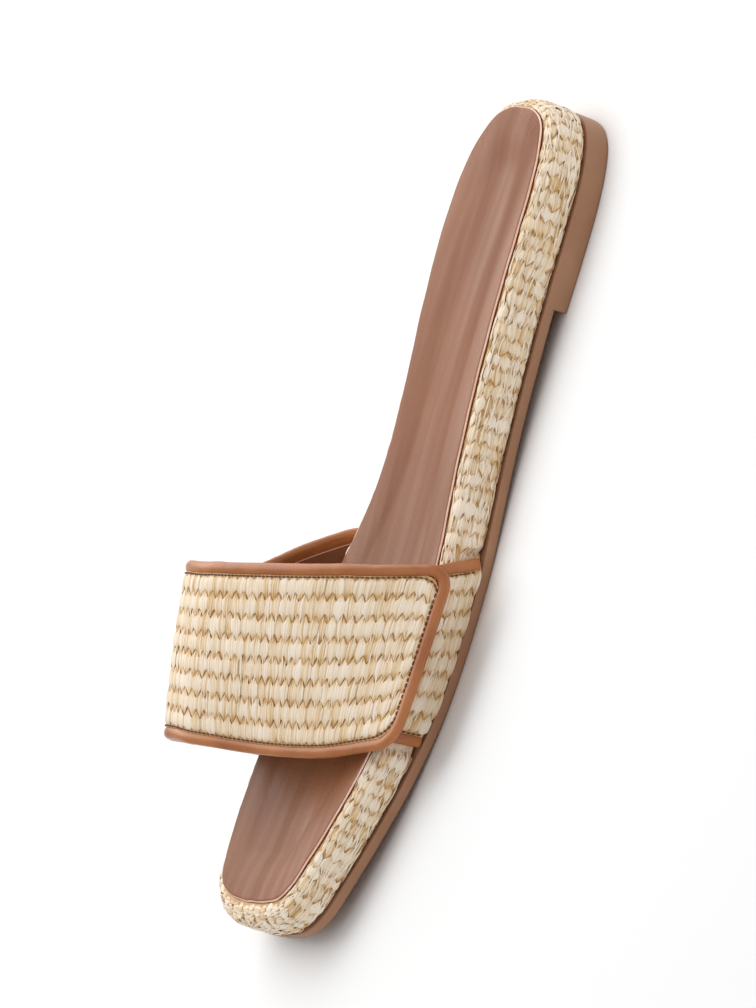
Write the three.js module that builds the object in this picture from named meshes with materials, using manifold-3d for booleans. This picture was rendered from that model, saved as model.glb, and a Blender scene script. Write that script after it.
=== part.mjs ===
// Woven flat sandal, left shoe: a slide with raffia straps over a sole with a raffia rim.
// Millimetres, +Z up. The toe points to -Y, the outer side of the foot is +X, the floor is z = 0.
import * as THREE from 'three'
import { mergeVertices } from 'three/addons/utils/BufferGeometryUtils.js'
import Module from 'manifold-3d'

const wasm = await Module()
wasm.setup()

// Sole sizes
const soleLength = 256
const ballWidth = 97
const outsoleThickness = 3.2
const toeSpring = 5.2
const heelLift = 4.2
const rimHeight = 11.5
const rimWidth = 5.8
const rimTuck = 1.4
const braidRows = 4
const braidRelief = 0.45
const insoleThickness = 3
const insoleProud = 0.9
const insoleLip = 0.5
const footbedDip = 1.1
const heelCup = 1
const dishInset = 9
const dishSlope = 8
const middleDepth = 14
const soleEdgeRound = 0.9
const breastSlope = 0.3

// Strap sizes: the instep height is from the rim's top to the highest point of the straps' inner face
const instepHeight = 36.3
const archHeight = outsoleThickness + rimHeight + instepHeight
const strapCrown = 0.8
const bandWall = 2.2
const flapWall = 2.2
const weaveRelief = 0.4
const weavePitch = 5.7
const bindingWidth = 3.8
const bindingThickness = 2.9
const bandInset = 1.7
const flapEndLength = 23.5
const flapEndDroop = 2.8
const flapCornerRadius = 8
const tabLength = 16
const padMargin = 10
const padSink = 0.9
const flapPastBandBack = 1.5
const flapPastBandFront = 1.7

// Clearances
const gap = 0.3
const bindingClearance = 0.3

// Outline of the rim: stations from toe to heel as shares of the length, and half widths as shares of the
// ball width
const outlineRows = [
  { along: 0.002, lateral: 0.113, medial: 0.134 },
  { along: 0.008, lateral: 0.206, medial: 0.222 },
  { along: 0.02, lateral: 0.271, medial: 0.298 },
  { along: 0.04, lateral: 0.322, medial: 0.359 },
  { along: 0.07, lateral: 0.363, medial: 0.39 },
  { along: 0.12, lateral: 0.425, medial: 0.42 },
  { along: 0.19, lateral: 0.485, medial: 0.453 },
  { along: 0.27, lateral: 0.521, medial: 0.471 },
  { along: 0.34, lateral: 0.529, medial: 0.454 },
  { along: 0.4, lateral: 0.519, medial: 0.405 },
  { along: 0.46, lateral: 0.497, medial: 0.325 },
  { along: 0.52, lateral: 0.467, medial: 0.254 },
  { along: 0.58, lateral: 0.439, medial: 0.232 },
  { along: 0.65, lateral: 0.418, medial: 0.244 },
  { along: 0.74, lateral: 0.403, medial: 0.281 },
  { along: 0.83, lateral: 0.387, medial: 0.315 },
  { along: 0.89, lateral: 0.367, medial: 0.319 },
  { along: 0.935, lateral: 0.333, medial: 0.29 },
  { along: 0.968, lateral: 0.281, medial: 0.233 },
  { along: 0.988, lateral: 0.21, medial: 0.163 },
  { along: 0.9975, lateral: 0.119, medial: 0.075 },
]
const toeTip = { along: 0, across: -0.01 }
const heelTip = { along: 1, across: 0.022 }

// Side view of the sole: spring is a share of the toe spring, lift of the heel lift, rim of the rim width,
// height of the rim height
const profileRows = [
  { along: 0, spring: 1, lift: 0, rim: 1.2, height: 0.96 },
  { along: 0.05, spring: 0.86, lift: 0, rim: 1.12, height: 0.96 },
  { along: 0.13, spring: 0.6, lift: 0, rim: 1, height: 0.97 },
  { along: 0.22, spring: 0.24, lift: 0, rim: 1, height: 0.98 },
  { along: 0.32, spring: 0, lift: 0, rim: 1, height: 1 },
  { along: 0.43, spring: 0, lift: 0, rim: 1, height: 1.01 },
  { along: 0.52, spring: 0, lift: 0.22, rim: 1, height: 1.04 },
  { along: 0.64, spring: 0, lift: 0.6, rim: 1, height: 1.07 },
  { along: 0.74, spring: 0, lift: 0.88, rim: 1, height: 1.09 },
  { along: 0.82, spring: 0, lift: 1, rim: 1, height: 1.09 },
  { along: 0.94, spring: 0, lift: 0.97, rim: 0.95, height: 1.09 },
  { along: 0.98, spring: 0, lift: 0.94, rim: 0.8, height: 1.09 },
  { along: 1, spring: 0, lift: 0.92, rim: 0.7, height: 1.09 },
]
const heelBreastAlong = 0.767

// Inner face of the straps, a row for each line that runs from the back edge to the front edge.
// Rows go from the outer side of the sole over the instep to the inner side.
// follow is how far a row keeps to the sole's outline and height, above zero on the outer side and below zero
// on the inner side. out is a share of the ball width, along of the length and up of the arch height.
const strapRows = [
  { follow: 1, back: { out: -0.008, along: 0.469, up: 0 }, front: { out: -0.008, along: 0.242, up: 0 } },
  { follow: 1, back: { out: 0, along: 0.463, up: 0.078 }, front: { out: 0, along: 0.24, up: 0.075 } },
  { follow: 1, back: { out: 0.024, along: 0.453, up: 0.19 }, front: { out: 0.006, along: 0.237, up: 0.165 } },
  { follow: 0.6, back: { out: 0.228, along: 0.4375, up: 0.361 }, front: { out: 0.189, along: 0.229, up: 0.25 } },
  { follow: 0.25, back: { out: 0.376, along: 0.4275, up: 0.482 }, front: { out: 0.32, along: 0.222, up: 0.308 } },
  { follow: 0, back: { out: 0.452, along: 0.42, up: 0.594 }, front: { out: 0.375, along: 0.216, up: 0.365 } },
  { follow: 0, back: { out: 0.371, along: 0.412, up: 0.712 }, front: { out: 0.278, along: 0.208, up: 0.431 } },
  { follow: 0, back: { out: 0.247, along: 0.401, up: 0.843 }, front: { out: 0.144, along: 0.201, up: 0.524 } },
  { follow: 0, back: { out: 0.082, along: 0.3905, up: 0.962 }, front: { out: 0, along: 0.196, up: 0.627 } },
  { follow: 0, back: { out: -0.082, along: 0.3835, up: 1.02 }, front: { out: -0.134, along: 0.193, up: 0.724 } },
  { follow: 0, back: { out: -0.217, along: 0.379, up: 1.03 }, front: { out: -0.242, along: 0.191, up: 0.781 } },
  { follow: 0, back: { out: -0.325, along: 0.379, up: 1 }, front: { out: -0.325, along: 0.191, up: 0.787 } },
  { follow: 0, back: { out: -0.404, along: 0.383, up: 0.91 }, front: { out: -0.397, along: 0.191, up: 0.726 } },
  { follow: 0, back: { out: -0.438, along: 0.392, up: 0.745 }, front: { out: -0.446, along: 0.193, up: 0.618 } },
  { follow: -0.25, back: { out: -0.348, along: 0.413, up: 0.6 }, front: { out: -0.358, along: 0.195, up: 0.464 } },
  { follow: -0.6, back: { out: -0.212, along: 0.442, up: 0.43 }, front: { out: -0.208, along: 0.198, up: 0.3 } },
  { follow: -1, back: { out: -0.062, along: 0.474, up: 0.21 }, front: { out: -0.018, along: 0.202, up: 0.139 } },
  { follow: -1, back: { out: -0.032, along: 0.488, up: 0.088 }, front: { out: -0.005, along: 0.205, up: 0.065 } },
  { follow: -1, back: { out: 0.008, along: 0.496, up: 0 }, front: { out: 0.008, along: 0.207, up: 0 } },
]

// Where each strap, pad and pocket starts and ends, counted in rows of the table above
const places = {
  bandFoot: 0.3,
  lateralBandTop: 9.3,
  medialBandTop: 10.2,
  flapLeavesBand: 5,
  flapFold: 12.8,
  flapRises: { from: 7.6, to: 10 },
  crownRises: { from: 2, to: 6 },
  crownFalls: { from: 12, to: 16 },
  pad: { from: 5.4, to: 8 },
  tabPad: { from: 11.4, to: 12.3 },
  pocket: { from: -0.6, to: 3.2 },
}

// How finely the round forms are divided
const sideStations = 38
const stationCrowding = 0.45
const outlineSamples = 400
const bindingSides = 8
const liningStrips = 4
const lateralSteps = 20
const medialSteps = 16
const pocketSteps = 12

// Colours of the real materials
const raffiaColour = 0xe6d2b0
const leatherColour = 0xa0623f
const footbedColour = 0xab765a
const moulding = 0x98735a

const lerp = THREE.MathUtils.lerp
const clamp = THREE.MathUtils.clamp
const smooth = THREE.MathUtils.smoothstep
const toY = (along) => (along - 0.5) * soleLength
const toAlong = (y) => y / soleLength + 0.5

// Smooth reading between a table's rows, with no overshoot
function readSmooth(placeOf, valueOf, last, place) {
  if (place <= placeOf(0)) return valueOf(0)
  if (place >= placeOf(last)) return valueOf(last)
  let i = 0
  while (place > placeOf(i + 1)) i += 1
  const slopeOf = (k) => (valueOf(k + 1) - valueOf(k)) / (placeOf(k + 1) - placeOf(k))
  const tangent = (k) => {
    if (k === 0) return slopeOf(0)
    if (k === last) return slopeOf(last - 1)
    const before = slopeOf(k - 1)
    const after = slopeOf(k)
    if (before * after <= 0) return 0
    const mean = (before + after) / 2
    const most = 3 * Math.min(Math.abs(before), Math.abs(after))
    return Math.sign(mean) * Math.min(Math.abs(mean), most)
  }
  const span = placeOf(i + 1) - placeOf(i)
  const t = (place - placeOf(i)) / span
  const a = (1 + 2 * t) * (1 - t) ** 2
  const b = t * (1 - t) ** 2
  const c = t * t * (3 - 2 * t)
  const d = t * t * (t - 1)
  return a * valueOf(i) + b * span * tangent(i) + c * valueOf(i + 1) + d * span * tangent(i + 1)
}

function profile(column, y) {
  const last = profileRows.length - 1
  return readSmooth((k) => profileRows[k].along, (k) => profileRows[k][column], last, toAlong(y))
}

// Heights of the sole's layers over the floor
const underside = (y) => toeSpring * profile('spring', y) + heelLift * profile('lift', y)
const soleTop = (y) => underside(y) + outsoleThickness
const rimRise = (y) => rimHeight * profile('height', y)
const rimTop = (y) => soleTop(y) + rimRise(y)
const insoleTop = (y) => rimTop(y) + insoleProud
const breastY = toY(heelBreastAlong)

// The outline as one closed curve, read as an outer and an inner side with stations facing each other
const outlineCurve = new THREE.CatmullRomCurve3([
  new THREE.Vector3(toeTip.across * ballWidth, toY(toeTip.along), 0),
  ...outlineRows.map((row) => new THREE.Vector3(row.lateral * ballWidth, toY(row.along), 0)),
  new THREE.Vector3(heelTip.across * ballWidth, toY(heelTip.along), 0),
  ...outlineRows.toReversed().map((row) => new THREE.Vector3(-row.medial * ballWidth, toY(row.along), 0)),
], true, 'centripetal')

function outlineSide(side) {
  const points = []
  for (let i = 0; i <= outlineSamples; i += 1) {
    const turn = (0.5 * i) / outlineSamples
    points.push(outlineCurve.getPoint(side > 0 ? turn : 1 - turn))
  }
  const lengths = [0]
  for (let i = 1; i < points.length; i += 1) {
    lengths.push(lengths[i - 1] + points[i].distanceTo(points[i - 1]))
  }
  const total = lengths[lengths.length - 1]
  const shares = lengths.map((length) => length / total)
  const at = (share) => {
    let i = 0
    while (i < outlineSamples - 1 && shares[i + 1] < share) i += 1
    return points[i].clone().lerp(points[i + 1], (share - shares[i]) / (shares[i + 1] - shares[i]))
  }
  const shareAtY = (y) => {
    let i = 0
    while (i < outlineSamples - 1 && points[i + 1].y < y) i += 1
    return lerp(shares[i], shares[i + 1], (y - points[i].y) / (points[i + 1].y - points[i].y))
  }
  return { at, shareAtY, halfWidth: (y) => Math.abs(at(shareAtY(y)).x) }
}

const lateralSide = outlineSide(1)
const medialSide = outlineSide(-1)
const halfWidth = (side, y) => (side > 0 ? lateralSide.halfWidth(y) : medialSide.halfWidth(y))

// Stations crowd towards toe and heel, and two of them make the step of the heel's breast
function stationShares(half) {
  const shares = []
  for (let k = 0; k <= sideStations; k += 1) {
    const even = k / sideStations
    shares.push(even - (stationCrowding * Math.sin(2 * Math.PI * even)) / (2 * Math.PI))
  }
  const breast = half.shareAtY(breastY)
  const clear = 0.5 / sideStations
  const kept = shares.filter((share) => Math.abs(share - breast) > clear)
  kept.push(half.shareAtY(breastY - breastSlope), breast)
  return kept.sort((a, b) => a - b)
}

const lateralShares = stationShares(lateralSide)
const medialShares = stationShares(medialSide)
const outlineRing = [
  ...lateralShares.map((share) => lateralSide.at(share)),
  ...medialShares.slice(1, -1).toReversed().map((share) => medialSide.at(share)),
]
const ringSize = outlineRing.length
const facing = (i) => (ringSize - i) % ringSize
const breastStation = lateralShares.indexOf(lateralSide.shareAtY(breastY))
const isHeel = (i) => Math.min(i, facing(i)) >= breastStation

const ringNormals = outlineRing.map((point, i) => {
  const next = outlineRing[(i + 1) % ringSize]
  const previous = outlineRing[(i + ringSize - 1) % ringSize]
  return new THREE.Vector3(next.y - previous.y, previous.x - next.x, 0).normalize()
})

// Line along the middle of the sole, short of toe and heel, where the flat faces close
const spineEnds = { toe: toY(0.15), heel: toY(0.87) }
const spine = outlineRing.map((point, i) => {
  const middle = point.clone().add(outlineRing[facing(i)]).multiplyScalar(0.5)
  if (middle.y >= spineEnds.toe && middle.y <= spineEnds.heel) return middle
  const y = clamp(middle.y, spineEnds.toe, spineEnds.heel)
  return new THREE.Vector3((lateralSide.halfWidth(y) - medialSide.halfWidth(y)) / 2, y, 0)
})

// One ring of the sole: in from the outline by inset, then towards the spine by depth
function soleRing(inset, depth, height) {
  return outlineRing.map((point, i) => {
    const inward = typeof inset === 'function' ? inset(i) : inset
    const edge = point.clone().addScaledVector(ringNormals[i], -inward)
    const reach = edge.distanceTo(spine[i])
    const placed = edge.lerp(spine[i], Math.min(depth / reach, 1))
    placed.z = height(placed.y, i)
    return placed
  })
}
const spineRing = (height) => (
  spine.map((point, i) => new THREE.Vector3(point.x, point.y, height(point.y, i))))

// Closed solid from rings that go from the middle of the top over the side to the middle of the base
function solidFromRings(rings) {
  const faces = []
  const at = (ring, i) => ring * ringSize + (i % ringSize)
  for (let r = 0; r + 1 < rings.length; r += 1) {
    for (let i = 0; i < ringSize; i += 1) {
      faces.push([at(r, i), at(r + 1, i), at(r + 1, i + 1)], [at(r, i), at(r + 1, i + 1), at(r, i + 1)])
    }
  }
  return solidFrom(rings.flat(), faces)
}

// Points and faces to one closed solid: shared points are merged and empty faces dropped
function solidFrom(points, faces) {
  const geometry = new THREE.BufferGeometry().setFromPoints(points)
  geometry.setIndex(faces.flat())
  const merged = mergeVertices(geometry, 1e-4)
  const index = merged.index.array
  const kept = []
  for (let i = 0; i < index.length; i += 3) {
    const [a, b, c] = [index[i], index[i + 1], index[i + 2]]
    if (a !== b && b !== c && c !== a) kept.push(a, b, c)
  }
  return new wasm.Manifold(new wasm.Mesh({
    numProp: 3,
    vertProperties: Float32Array.from(merged.attributes.position.array),
    triVerts: Uint32Array.from(kept),
  }))
}

function meshOf(name, solid, colour, roughness) {
  const result = solid.getMesh()
  const geometry = new THREE.BufferGeometry()
  geometry.setAttribute('position', new THREE.BufferAttribute(Float32Array.from(result.vertProperties), 3))
  geometry.setIndex(Array.from(result.triVerts))
  geometry.computeVertexNormals()
  const material = new THREE.MeshStandardMaterial({ color: colour, roughness, metalness: 0 })
  const mesh = new THREE.Mesh(geometry, material)
  mesh.name = name
  return mesh
}

// Outsole and low heel, moulded in one
function outsole() {
  const base = (y, i) => (isHeel(i) ? 0 : underside(y))
  const round = soleEdgeRound
  return solidFromRings([
    spineRing(soleTop),
    soleRing(0, middleDepth, soleTop),
    soleRing(gap + round / 2, 0, soleTop),
    soleRing(gap, 0, (y) => soleTop(y) - round / 2),
    soleRing(gap, 0, (y, i) => base(y, i) + round),
    soleRing(gap + round * 0.3, 0, (y, i) => base(y, i) + round * 0.3),
    soleRing(gap + round, 0, base),
    soleRing(0, middleDepth, base),
    spineRing(base),
  ])
}

// Width of the rim between the outline and the insole's edge
const rimAcross = (i) => rimWidth * profile('rim', outlineRing[i].y)

// Section of the braided rim from the insole's edge over its crown and down its side, a lobe for each row
function rimSection() {
  const crownDrop = 0.45 * rimHeight
  const tuckRise = 0.14 * rimHeight
  const shape = []
  const steps = 24
  for (let k = 0; k <= steps; k += 1) {
    const turn = (k / steps) * (Math.PI / 2)
    shape.push(new THREE.Vector2(1 - Math.sin(turn), -crownDrop * (1 - Math.cos(turn))))
  }
  shape.push(new THREE.Vector2(0, tuckRise + gap - rimHeight))
  shape.push(new THREE.Vector2(rimTuck / rimWidth / 3, (tuckRise + gap) / 2 - rimHeight))
  shape.push(new THREE.Vector2(rimTuck / rimWidth, gap - rimHeight))
  const real = shape.map((point) => new THREE.Vector2(point.x * rimWidth, point.y))
  const lengths = [0]
  for (let k = 1; k < real.length; k += 1) lengths.push(lengths[k - 1] + real[k].distanceTo(real[k - 1]))
  const total = lengths[lengths.length - 1]
  const pointsPerRow = 3
  const section = []
  for (let k = 0; k <= braidRows * pointsPerRow; k += 1) {
    const share = k / (braidRows * pointsPerRow)
    let i = 0
    while (i < real.length - 2 && lengths[i + 1] < share * total) i += 1
    const t = (share * total - lengths[i]) / (lengths[i + 1] - lengths[i])
    const spot = shape[i].clone().lerp(shape[i + 1], t)
    const inner = k > 0 && share < 1
    section.push({ inset: spot.x, drop: spot.y, valley: inner && k % pointsPerRow === 0 ? braidRelief : 0 })
  }
  return section
}

// Midsole: a core under the insole and the raffia rim round it, with pockets for the straps' lower ends
function midsole(pockets) {
  const floor = (y) => insoleTop(y) - insoleThickness - gap
  const wallInset = (i) => rimAcross(i) - gap
  const rimShare = (y) => (rimRise(y) - gap) / (rimHeight - gap)
  const side = rimSection().map(({ inset, drop, valley }) => (
    soleRing(
      (i) => inset * wallInset(i) + valley, 0,
      (y) => rimTop(y) + drop * rimShare(y) - valley * inset)))
  const bottom = (y) => soleTop(y) + gap
  const body = solidFromRings([
    spineRing(floor),
    soleRing(wallInset, middleDepth, floor),
    soleRing(wallInset, 0, floor),
    ...side,
    soleRing(rimTuck, middleDepth, bottom),
    spineRing(bottom),
  ])
  return pockets.reduce((solid, pocket) => solid.subtract(pocket), body)
}

// Insole: a leather footbed whose middle is pressed in, deeper under the heel
function insole() {
  const dish = [
    { down: 0, share: 0.15 },
    { down: 0.5, share: 0.75 },
    { down: 1, share: 1 },
  ]
  const pressed = (share) => (y) => {
    const cup = heelCup * smooth(toAlong(y), 0.6, 0.85)
    return insoleTop(y) - share * (footbedDip + cup)
  }
  const base = (y) => insoleTop(y) - insoleThickness
  return solidFromRings([
    spineRing(pressed(1)),
    ...dish.toReversed().map(({ down, share }) => (
      soleRing(rimAcross, dishInset + down * dishSlope, pressed(share)))),
    soleRing((i) => rimAcross(i) + insoleLip, 0, insoleTop),
    soleRing(rimAcross, 0, (y) => insoleTop(y) - insoleLip),
    soleRing(rimAcross, 0, base),
    spineRing(base),
  ])
}

// Point on the inner face of the straps: row counts along the strap, v goes from 0 at the back edge to 1
const lastRow = strapRows.length - 1

function rowPoint(k, v) {
  const entry = strapRows[k]
  const read = (column) => lerp(entry.back[column], entry.front[column], v)
  const y = toY(read('along'))
  const out = read('out') * ballWidth
  const up = read('up') * archHeight
  const wall = entry.follow * (halfWidth(entry.follow, y) - bandInset)
  return new THREE.Vector3(wall + out, y, Math.abs(entry.follow) * (soleTop(y) + gap) + up)
}

function strapFace(row, v) {
  const near = new Map()
  const pointAt = (k) => {
    if (!near.has(k)) near.set(k, rowPoint(k, v))
    return near.get(k)
  }
  const read = (axis) => readSmooth((k) => k, (k) => pointAt(k)[axis], lastRow, row)
  return new THREE.Vector3(read('x'), read('y'), read('z'))
}

function strapNormal(row, v) {
  const step = 0.02
  const alongStrap = strapFace(row + step, v).sub(strapFace(row - step, v))
  const acrossStrap = strapFace(row, v + step).sub(strapFace(row, v - step))
  return alongStrap.cross(acrossStrap).normalize()
}

const firstInside = 0.03
const between = (place, { from, to }) => smooth(place, from, to)

function strapPoint(row, v, offset) {
  const inside = clamp(row, firstInside, lastRow - firstInside)
  const middle = between(row, places.crownRises) * (1 - between(row, places.crownFalls))
  const crown = Math.max(strapCrown * middle * 4 * v * (1 - v), 0)
  return strapFace(row, v).addScaledVector(strapNormal(inside, clamp(v, 0, 1)), offset + crown)
}

// Length along the middle of the strap, to turn millimetres into rows and back
const lengthSteps = 20
const lengthTable = [0]
for (let k = 1; k <= lastRow * lengthSteps; k += 1) {
  const here = strapFace(k / lengthSteps, 0.5)
  lengthTable.push(lengthTable[k - 1] + here.distanceTo(strapFace((k - 1) / lengthSteps, 0.5)))
}
function lengthAt(row) {
  const k = clamp(Math.floor(row * lengthSteps), 0, lengthTable.length - 2)
  return lerp(lengthTable[k], lengthTable[k + 1], row * lengthSteps - k)
}
function rowAt(length) {
  let k = 0
  while (k < lengthTable.length - 2 && lengthTable[k + 1] < length) k += 1
  return (k + (length - lengthTable[k]) / (lengthTable[k + 1] - lengthTable[k])) / lengthSteps
}
const strapWidth = (row) => strapFace(row, 0).distanceTo(strapFace(row, 1))

// Sine of the angle between the strap's back or front edge and a line across the strap
function edgeSlant(row, front) {
  const step = 0.1
  const v = front ? 1 : 0
  const inside = clamp(row, step, lastRow - step)
  const edge = strapFace(inside + step, v).sub(strapFace(inside - step, v)).normalize()
  const across = strapFace(inside, 1).sub(strapFace(inside, 0)).normalize()
  return edge.cross(across).length()
}

// Place across a band that lies a distance in from its back or front edge, measured square to that edge
function inFromEdge(row, distance, front) {
  const share = distance / (edgeSlant(row, front) * strapWidth(row))
  return front ? 1 - share : share
}

// Closed sheet between two grids of points, the outer one with raised weave rows and the lining plain
function sheet(outer, inner) {
  const points = [...outer.flat(), ...inner.flat()]
  const outerCount = outer[0].length
  const innerCount = inner[0].length
  const out = (i, j) => i * outerCount + j
  const inn = (i, j) => outer.length * outerCount + i * innerCount + j
  const faces = []
  const quad = (a, b, c, d) => faces.push([a, b, c], [a, c, d])
  const last = outer.length - 1
  for (let i = 0; i < last; i += 1) {
    for (let j = 0; j + 1 < outerCount; j += 1) {
      quad(out(i, j), out(i + 1, j), out(i + 1, j + 1), out(i, j + 1))
    }
    for (let j = 0; j + 1 < innerCount; j += 1) {
      quad(inn(i, j), inn(i, j + 1), inn(i + 1, j + 1), inn(i + 1, j))
    }
    const [outEnd, innEnd] = [outerCount - 1, innerCount - 1]
    quad(out(i, 0), inn(i, 0), inn(i + 1, 0), out(i + 1, 0))
    quad(out(i, outEnd), out(i + 1, outEnd), inn(i + 1, innEnd), inn(i, innEnd))
  }
  const zip = (i, flip) => {
    const ratio = (innerCount - 1) / (outerCount - 1)
    const push = (a, b, c) => faces.push(flip ? [a, c, b] : [a, b, c])
    let k = 0
    for (let j = 0; j + 1 < outerCount; j += 1) {
      push(out(i, j), out(i, j + 1), inn(i, k))
      if ((j + 1) * ratio >= k + 1 - 1e-9) {
        push(out(i, j + 1), inn(i, k + 1), inn(i, k))
        k += 1
      }
    }
  }
  zip(0, false)
  zip(last, true)
  return solidFrom(points, faces)
}

// Places across the weave: valleys at the row borders, crests between them
function weaveStrips(width) {
  const rows = Math.round(width / weavePitch)
  return Array.from({ length: 2 * rows + 1 }, (unused, j) => ({ w: j / (2 * rows), raised: j % 2 === 1 }))
}
const liningPlaces = Array.from({ length: liningStrips + 1 }, (unused, j) => j / liningStrips)
const edgeAllowance = bindingWidth + gap

// A band that rises from the sole, its rows of weave running up the strap
function band(fromRow, toRow, steps) {
  const width = strapWidth((fromRow + toRow) / 2) - 2 * edgeAllowance
  const strips = weaveStrips(width)
  const rows = Array.from({ length: steps + 1 }, (unused, i) => lerp(fromRow, toRow, i / steps))
  const across = (row, w) => (
    lerp(inFromEdge(row, edgeAllowance, false), inFromEdge(row, edgeAllowance, true), w))
  const outer = rows.map((row) => strips.map(({ w, raised }) => (
    strapPoint(row, across(row, w), bandWall + (raised ? weaveRelief : 0)))))
  const inner = rows.map((row) => liningPlaces.map((w) => strapPoint(row, across(row, w), 0)))
  return sheet(outer, inner)
}

// Plain slab on the strap's face, for pads and for the pockets in the rim
function slab(fromRow, toRow, steps, margin, low, high) {
  const rows = Array.from({ length: steps + 1 }, (unused, i) => lerp(fromRow, toRow, i / steps))
  const grid = (offset) => rows.map((row) => liningPlaces.map((w) => (
    strapPoint(row, lerp(inFromEdge(row, margin, false), inFromEdge(row, margin, true), w), offset))))
  return sheet(grid(high), grid(low))
}

// The flap: its middle line is a path of places along the strap and heights over the bands' inner face
const layerStep = bindingThickness + bindingClearance
const flapRest = bandWall / 2 + layerStep
const flapStart = lengthAt(places.flapLeavesBand)
const flapEnd = flapStart - flapEndLength
const foldLength = lengthAt(places.flapFold)

function flapPath() {
  const path = []
  const add = (length, height) => path.push(new THREE.Vector2(length, height))
  const endSteps = [0, 0.1, 0.3, 0.65]
  endSteps.forEach((share) => add(flapStart - flapEndLength * (1 - share), flapRest))
  for (let row = places.flapLeavesBand; row <= places.flapFold - 0.2; row += 0.5) {
    add(lengthAt(row), flapRest + layerStep * between(row, places.flapRises))
  }
  const foldSteps = 4
  for (let k = 0; k <= foldSteps; k += 1) {
    const turn = (k / foldSteps) * Math.PI
    const middle = flapRest + layerStep / 2
    add(foldLength + (layerStep / 2) * Math.sin(turn), middle + (layerStep / 2) * Math.cos(turn))
  }
  const tabSteps = 5
  for (let k = 1; k <= tabSteps; k += 1) add(foldLength - (tabLength * k) / tabSteps, flapRest)
  return path
}

// Point of the flap, w from its back edge to its front edge; its end leaves the band in a straight line
function flapPoint(length, w, height) {
  const row = flapRow(length)
  const width = strapWidth(row)
  const v = lerp(-flapPastBandBack / width, 1 + flapPastBandFront / width, w)
  const point = strapPoint(row, v, height)
  const beyond = flapStart - length
  if (beyond <= 0) return point
  const step = 0.05
  const direction = strapPoint(row, v, height).sub(strapPoint(row + step, v, height)).normalize()
  const droop = flapEndDroop * (1 - clamp(w, 0, 1)) * (beyond / flapEndLength) ** 2
  return point.addScaledVector(direction, beyond).addScaledVector(strapNormal(row, clamp(v, 0, 1)), -droop)
}
const flapRow = (length) => Math.max(rowAt(length), places.flapLeavesBand)
const flapWidth = (length) => strapWidth(flapRow(length)) + flapPastBandBack + flapPastBandFront

// Place across the flap that lies a distance in from its back or front edge
function inFromFlapEdge(length, distance, front) {
  const share = distance / (edgeSlant(flapRow(length), front) * flapWidth(length))
  return front ? 1 - share : share
}

// How far the rounded corners of the free end pull the edge in
function cornerPull(length) {
  const fromEnd = length - flapEnd
  if (fromEnd >= flapCornerRadius) return 0
  const reach = flapCornerRadius - Math.max(fromEnd, 0)
  return flapCornerRadius - Math.sqrt(flapCornerRadius ** 2 - reach ** 2)
}

function sideways(path, i) {
  const before = path[Math.max(i - 1, 0)]
  const after = path[Math.min(i + 1, path.length - 1)]
  const direction = after.clone().sub(before).normalize()
  return new THREE.Vector2(-direction.y, direction.x)
}

function flap() {
  const path = flapPath()
  path[0].x += edgeAllowance
  path[1].x = lerp(path[0].x, path[2].x, 0.4)
  const strips = weaveStrips(flapWidth(flapStart) - 2 * edgeAllowance)
  const at = (i, w, offset) => {
    const normal = sideways(path, i)
    const spot = path[i].clone().addScaledVector(normal, offset)
    const pull = cornerPull(path[i].x - edgeAllowance) * (1 - edgeAllowance / flapCornerRadius)
    const edge = (front) => inFromFlapEdge(path[i].x, edgeAllowance + bindingClearance + pull, front)
    return flapPoint(spot.x, lerp(edge(false), edge(true), w), spot.y)
  }
  const outer = path.map((unused, i) => strips.map(({ w, raised }) => (
    at(i, w, flapWall / 2 + (raised ? weaveRelief : 0)))))
  const inner = path.map((unused, i) => liningPlaces.map((w) => at(i, w, -flapWall / 2)))
  return sheet(outer, inner)
}

// Leather binding as an oval bead: centre places with the strap's outward direction at each
function bead(centres, outward) {
  const rings = centres.map((centre, i) => {
    const before = centres[Math.max(i - 1, 0)]
    const after = centres[Math.min(i + 1, centres.length - 1)]
    const direction = after.clone().sub(before).normalize()
    const up = outward[i].clone().addScaledVector(direction, -outward[i].dot(direction)).normalize()
    const across = direction.clone().cross(up)
    return Array.from({ length: bindingSides }, (unused, k) => {
      const turn = ((k + 0.5) * 2 * Math.PI) / bindingSides
      return centre.clone()
        .addScaledVector(up, (bindingThickness / 2) * Math.sin(turn))
        .addScaledVector(across, (bindingWidth / 2) * Math.cos(turn))
    })
  })
  const points = [...rings.flat(), centres[0].clone(), centres[centres.length - 1].clone()]
  const start = points.length - 2
  const at = (r, k) => r * bindingSides + (k % bindingSides)
  const faces = []
  const last = rings.length - 1
  for (let k = 0; k < bindingSides; k += 1) {
    for (let r = 0; r < last; r += 1) {
      faces.push([at(r, k), at(r + 1, k), at(r + 1, k + 1)], [at(r, k), at(r + 1, k + 1), at(r, k + 1)])
    }
    faces.push([start, at(0, k), at(0, k + 1)], [start + 1, at(last, k + 1), at(last, k)])
  }
  return solidFrom(points, faces)
}

// Binding along the back or front edge of a band
function bandBinding(fromRow, toRow, steps, front) {
  const rows = Array.from({ length: steps + 1 }, (unused, i) => lerp(fromRow, toRow, i / steps))
  const place = (row) => inFromEdge(row, bindingWidth / 2, front)
  const centres = rows.map((row) => strapPoint(row, place(row), bandWall / 2))
  const outward = rows.map((row) => strapNormal(clamp(row, firstInside, lastRow - firstInside), place(row)))
  return bead(centres, outward)
}

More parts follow.
